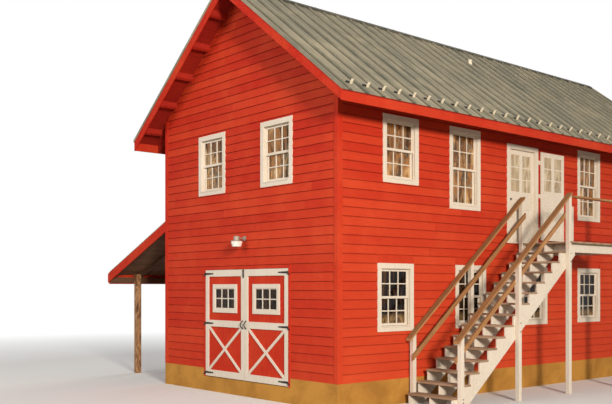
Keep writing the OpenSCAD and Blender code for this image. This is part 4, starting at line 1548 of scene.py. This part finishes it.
@dataclass(frozen=True)
class Lamp:
    """A soft square lamp: where it hangs, what it points at, its width, its watts and its colour."""

    name: str
    place: Point
    aim: Point
    size: float
    power: float
    colour: Colour

    def hang(self) -> None:
        """Hangs the lamp."""
        data = bpy.data.lights.new(self.name, "AREA")
        data.shape = "SQUARE"
        data.size = self.size
        data.energy = self.power
        data.color = self.colour
        lamp = put(self.name, data)
        lamp.location = self.place
        lamp.rotation_euler = (Vector(self.aim) - Vector(self.place)).to_track_quat("-Z", "Y").to_euler()


@dataclass
class Studio:
    """A pale floor, soft lamps and the camera at the photograph's viewpoint."""

    eye: Point = (13.927, -10.205, 2.2)
    turn: float = 49.41
    lens: float = 49.845
    shift: float = 0.1397
    white: Colour = (1.0, 1.0, 1.0)
    world_light: float = 0.30
    floor_size: float = 200.0
    floor_middle: Point = (0.0, 4.0, 0.0)
    floor_from: float = 11.0
    floor_to: float = 24.0
    floor_colour: Colour = (0.84, 0.83, 0.81)
    floor_bounce: Colour = (0.36, 0.33, 0.29)
    lamps: tuple[Lamp, ...] = (
        Lamp("key", (32.5, -13.0, 10.8), (0.5, 5.0, 3.0), 4.5, 12300.0, (1.0, 0.92, 0.82)),
        Lamp("fill", (0.0, -26.0, 13.0), (0.0, 3.0, 3.0), 14.0, 3500.0, (0.97, 0.97, 0.98)),
        Lamp("back", (-16.0, 28.0, 16.0), (0.0, 8.0, 3.0), 14.0, 3600.0, (1.0, 1.0, 1.0)),
    )

    def camera(self) -> None:
        """Sets the camera."""
        data = bpy.data.cameras.new("camera")
        data.sensor_width = 36.0
        data.lens = self.lens
        data.shift_y = self.shift
        data.clip_end = 500.0
        eye = put("camera", data)
        eye.location = self.eye
        eye.rotation_euler = (math.radians(90), 0.0, math.radians(self.turn))
        bpy.context.scene.camera = eye

    def floor(self) -> None:
        """Lays the pale floor, which melts into the background far from the barn."""
        mesh = bmesh.new()
        bmesh.ops.create_grid(mesh, x_segments=1, y_segments=1, size=self.floor_size)
        data = bpy.data.meshes.new("floor")
        mesh.to_mesh(data)
        mesh.free()
        sheet = Sheet("floor")
        seen = sheet.looking_rays()
        away = sheet.node("ShaderNodeVectorMath", operation="DISTANCE")
        sheet.feed(away.inputs[0], sheet.node("ShaderNodeTexCoord").outputs["Object"])
        sheet.feed(away.inputs[1], self.floor_middle)
        far = sheet.spread(away.outputs["Value"], self.floor_from, self.floor_to)
        sheet.coat(sheet.blend(seen, self.floor_bounce, self.floor_colour), 0.95, 0.0)
        glow = sheet.node("ShaderNodeEmission", Color=self.white, Strength=1.0)
        share = sheet.maths("MULTIPLY", far, seen)
        sheet.show("Material Output", share, sheet.shader.outputs[0], glow.outputs[0])
        data.materials.append(sheet.material)
        put("floor", data)

    def world(self) -> None:
        """Sets a pale world, brighter to the camera than as a light."""
        world = bpy.data.worlds.new("world")
        bpy.context.scene.world = world
        world.use_nodes = True
        nodes = Nodes(world.node_tree)
        light = nodes.tree.nodes["Background"]
        nodes.feed(light.inputs["Color"], self.white)
        nodes.feed(light.inputs["Strength"], self.world_light)
        seen = nodes.node("ShaderNodeBackground", Color=self.white, Strength=1.0)
        nodes.show("World Output", nodes.looking_rays(), light.outputs[0], seen.outputs[0])

    def build(self) -> None:
        """Sets up the whole studio."""
        self.camera()
        self.floor()
        self.world()
        for lamp in self.lamps:
            lamp.hang()
        bpy.context.scene.view_settings.view_transform = "Standard"


def main() -> None:
    """Builds and dresses the barn, piece by piece."""
    sizes = BarnSizes()
    windows = all_windows()
    paints = {finish.name: finish.make() for finish in FINISHES}
    white, white_even, iron = (paints[name] for name in ("white_upright", "white_trim", "black_iron_worn"))
    repaint(paints)
    for lumber in LUMBER:
        lumber.build(paints)
    Siding(sizes, windows + sizes.doorways()).build(paints["red_clapboards"])
    Sashwork(sizes, windows).build(white)
    for door in (
        GlazedDoor("upper_door", sizes.upper_door, 0.035, sizes.landing + 0.028, 0.94, 2.019, -1),
        GlazedDoor("storm_door", sizes.upper_door + 1.083, -0.063, sizes.landing + 0.095, 0.9, 1.98, 1),
    ):
        door.build(sizes, paints["landing_door_panes"], white_even, iron)
    for left in (True, False):
        BarnLeaf(sizes, left).build(white, iron)
    for slope in sheet_roofs(sizes):
        slope.build(paints["roof_seams_weathered"], paints["pale_guard"], iron)
    RidgeClosures(sizes).build(paints["ridge_metal_dark"])
    LeanToSheathing(sizes).build(paints["lean_to_wood"])
    RoofVent(sizes).build(paints["pale_guard"])
    LampLens().build(paints["lamp_lens_glass"])
    StairBolts().build(iron)
    Studio().build()


if __name__ == "__main__":
    main()
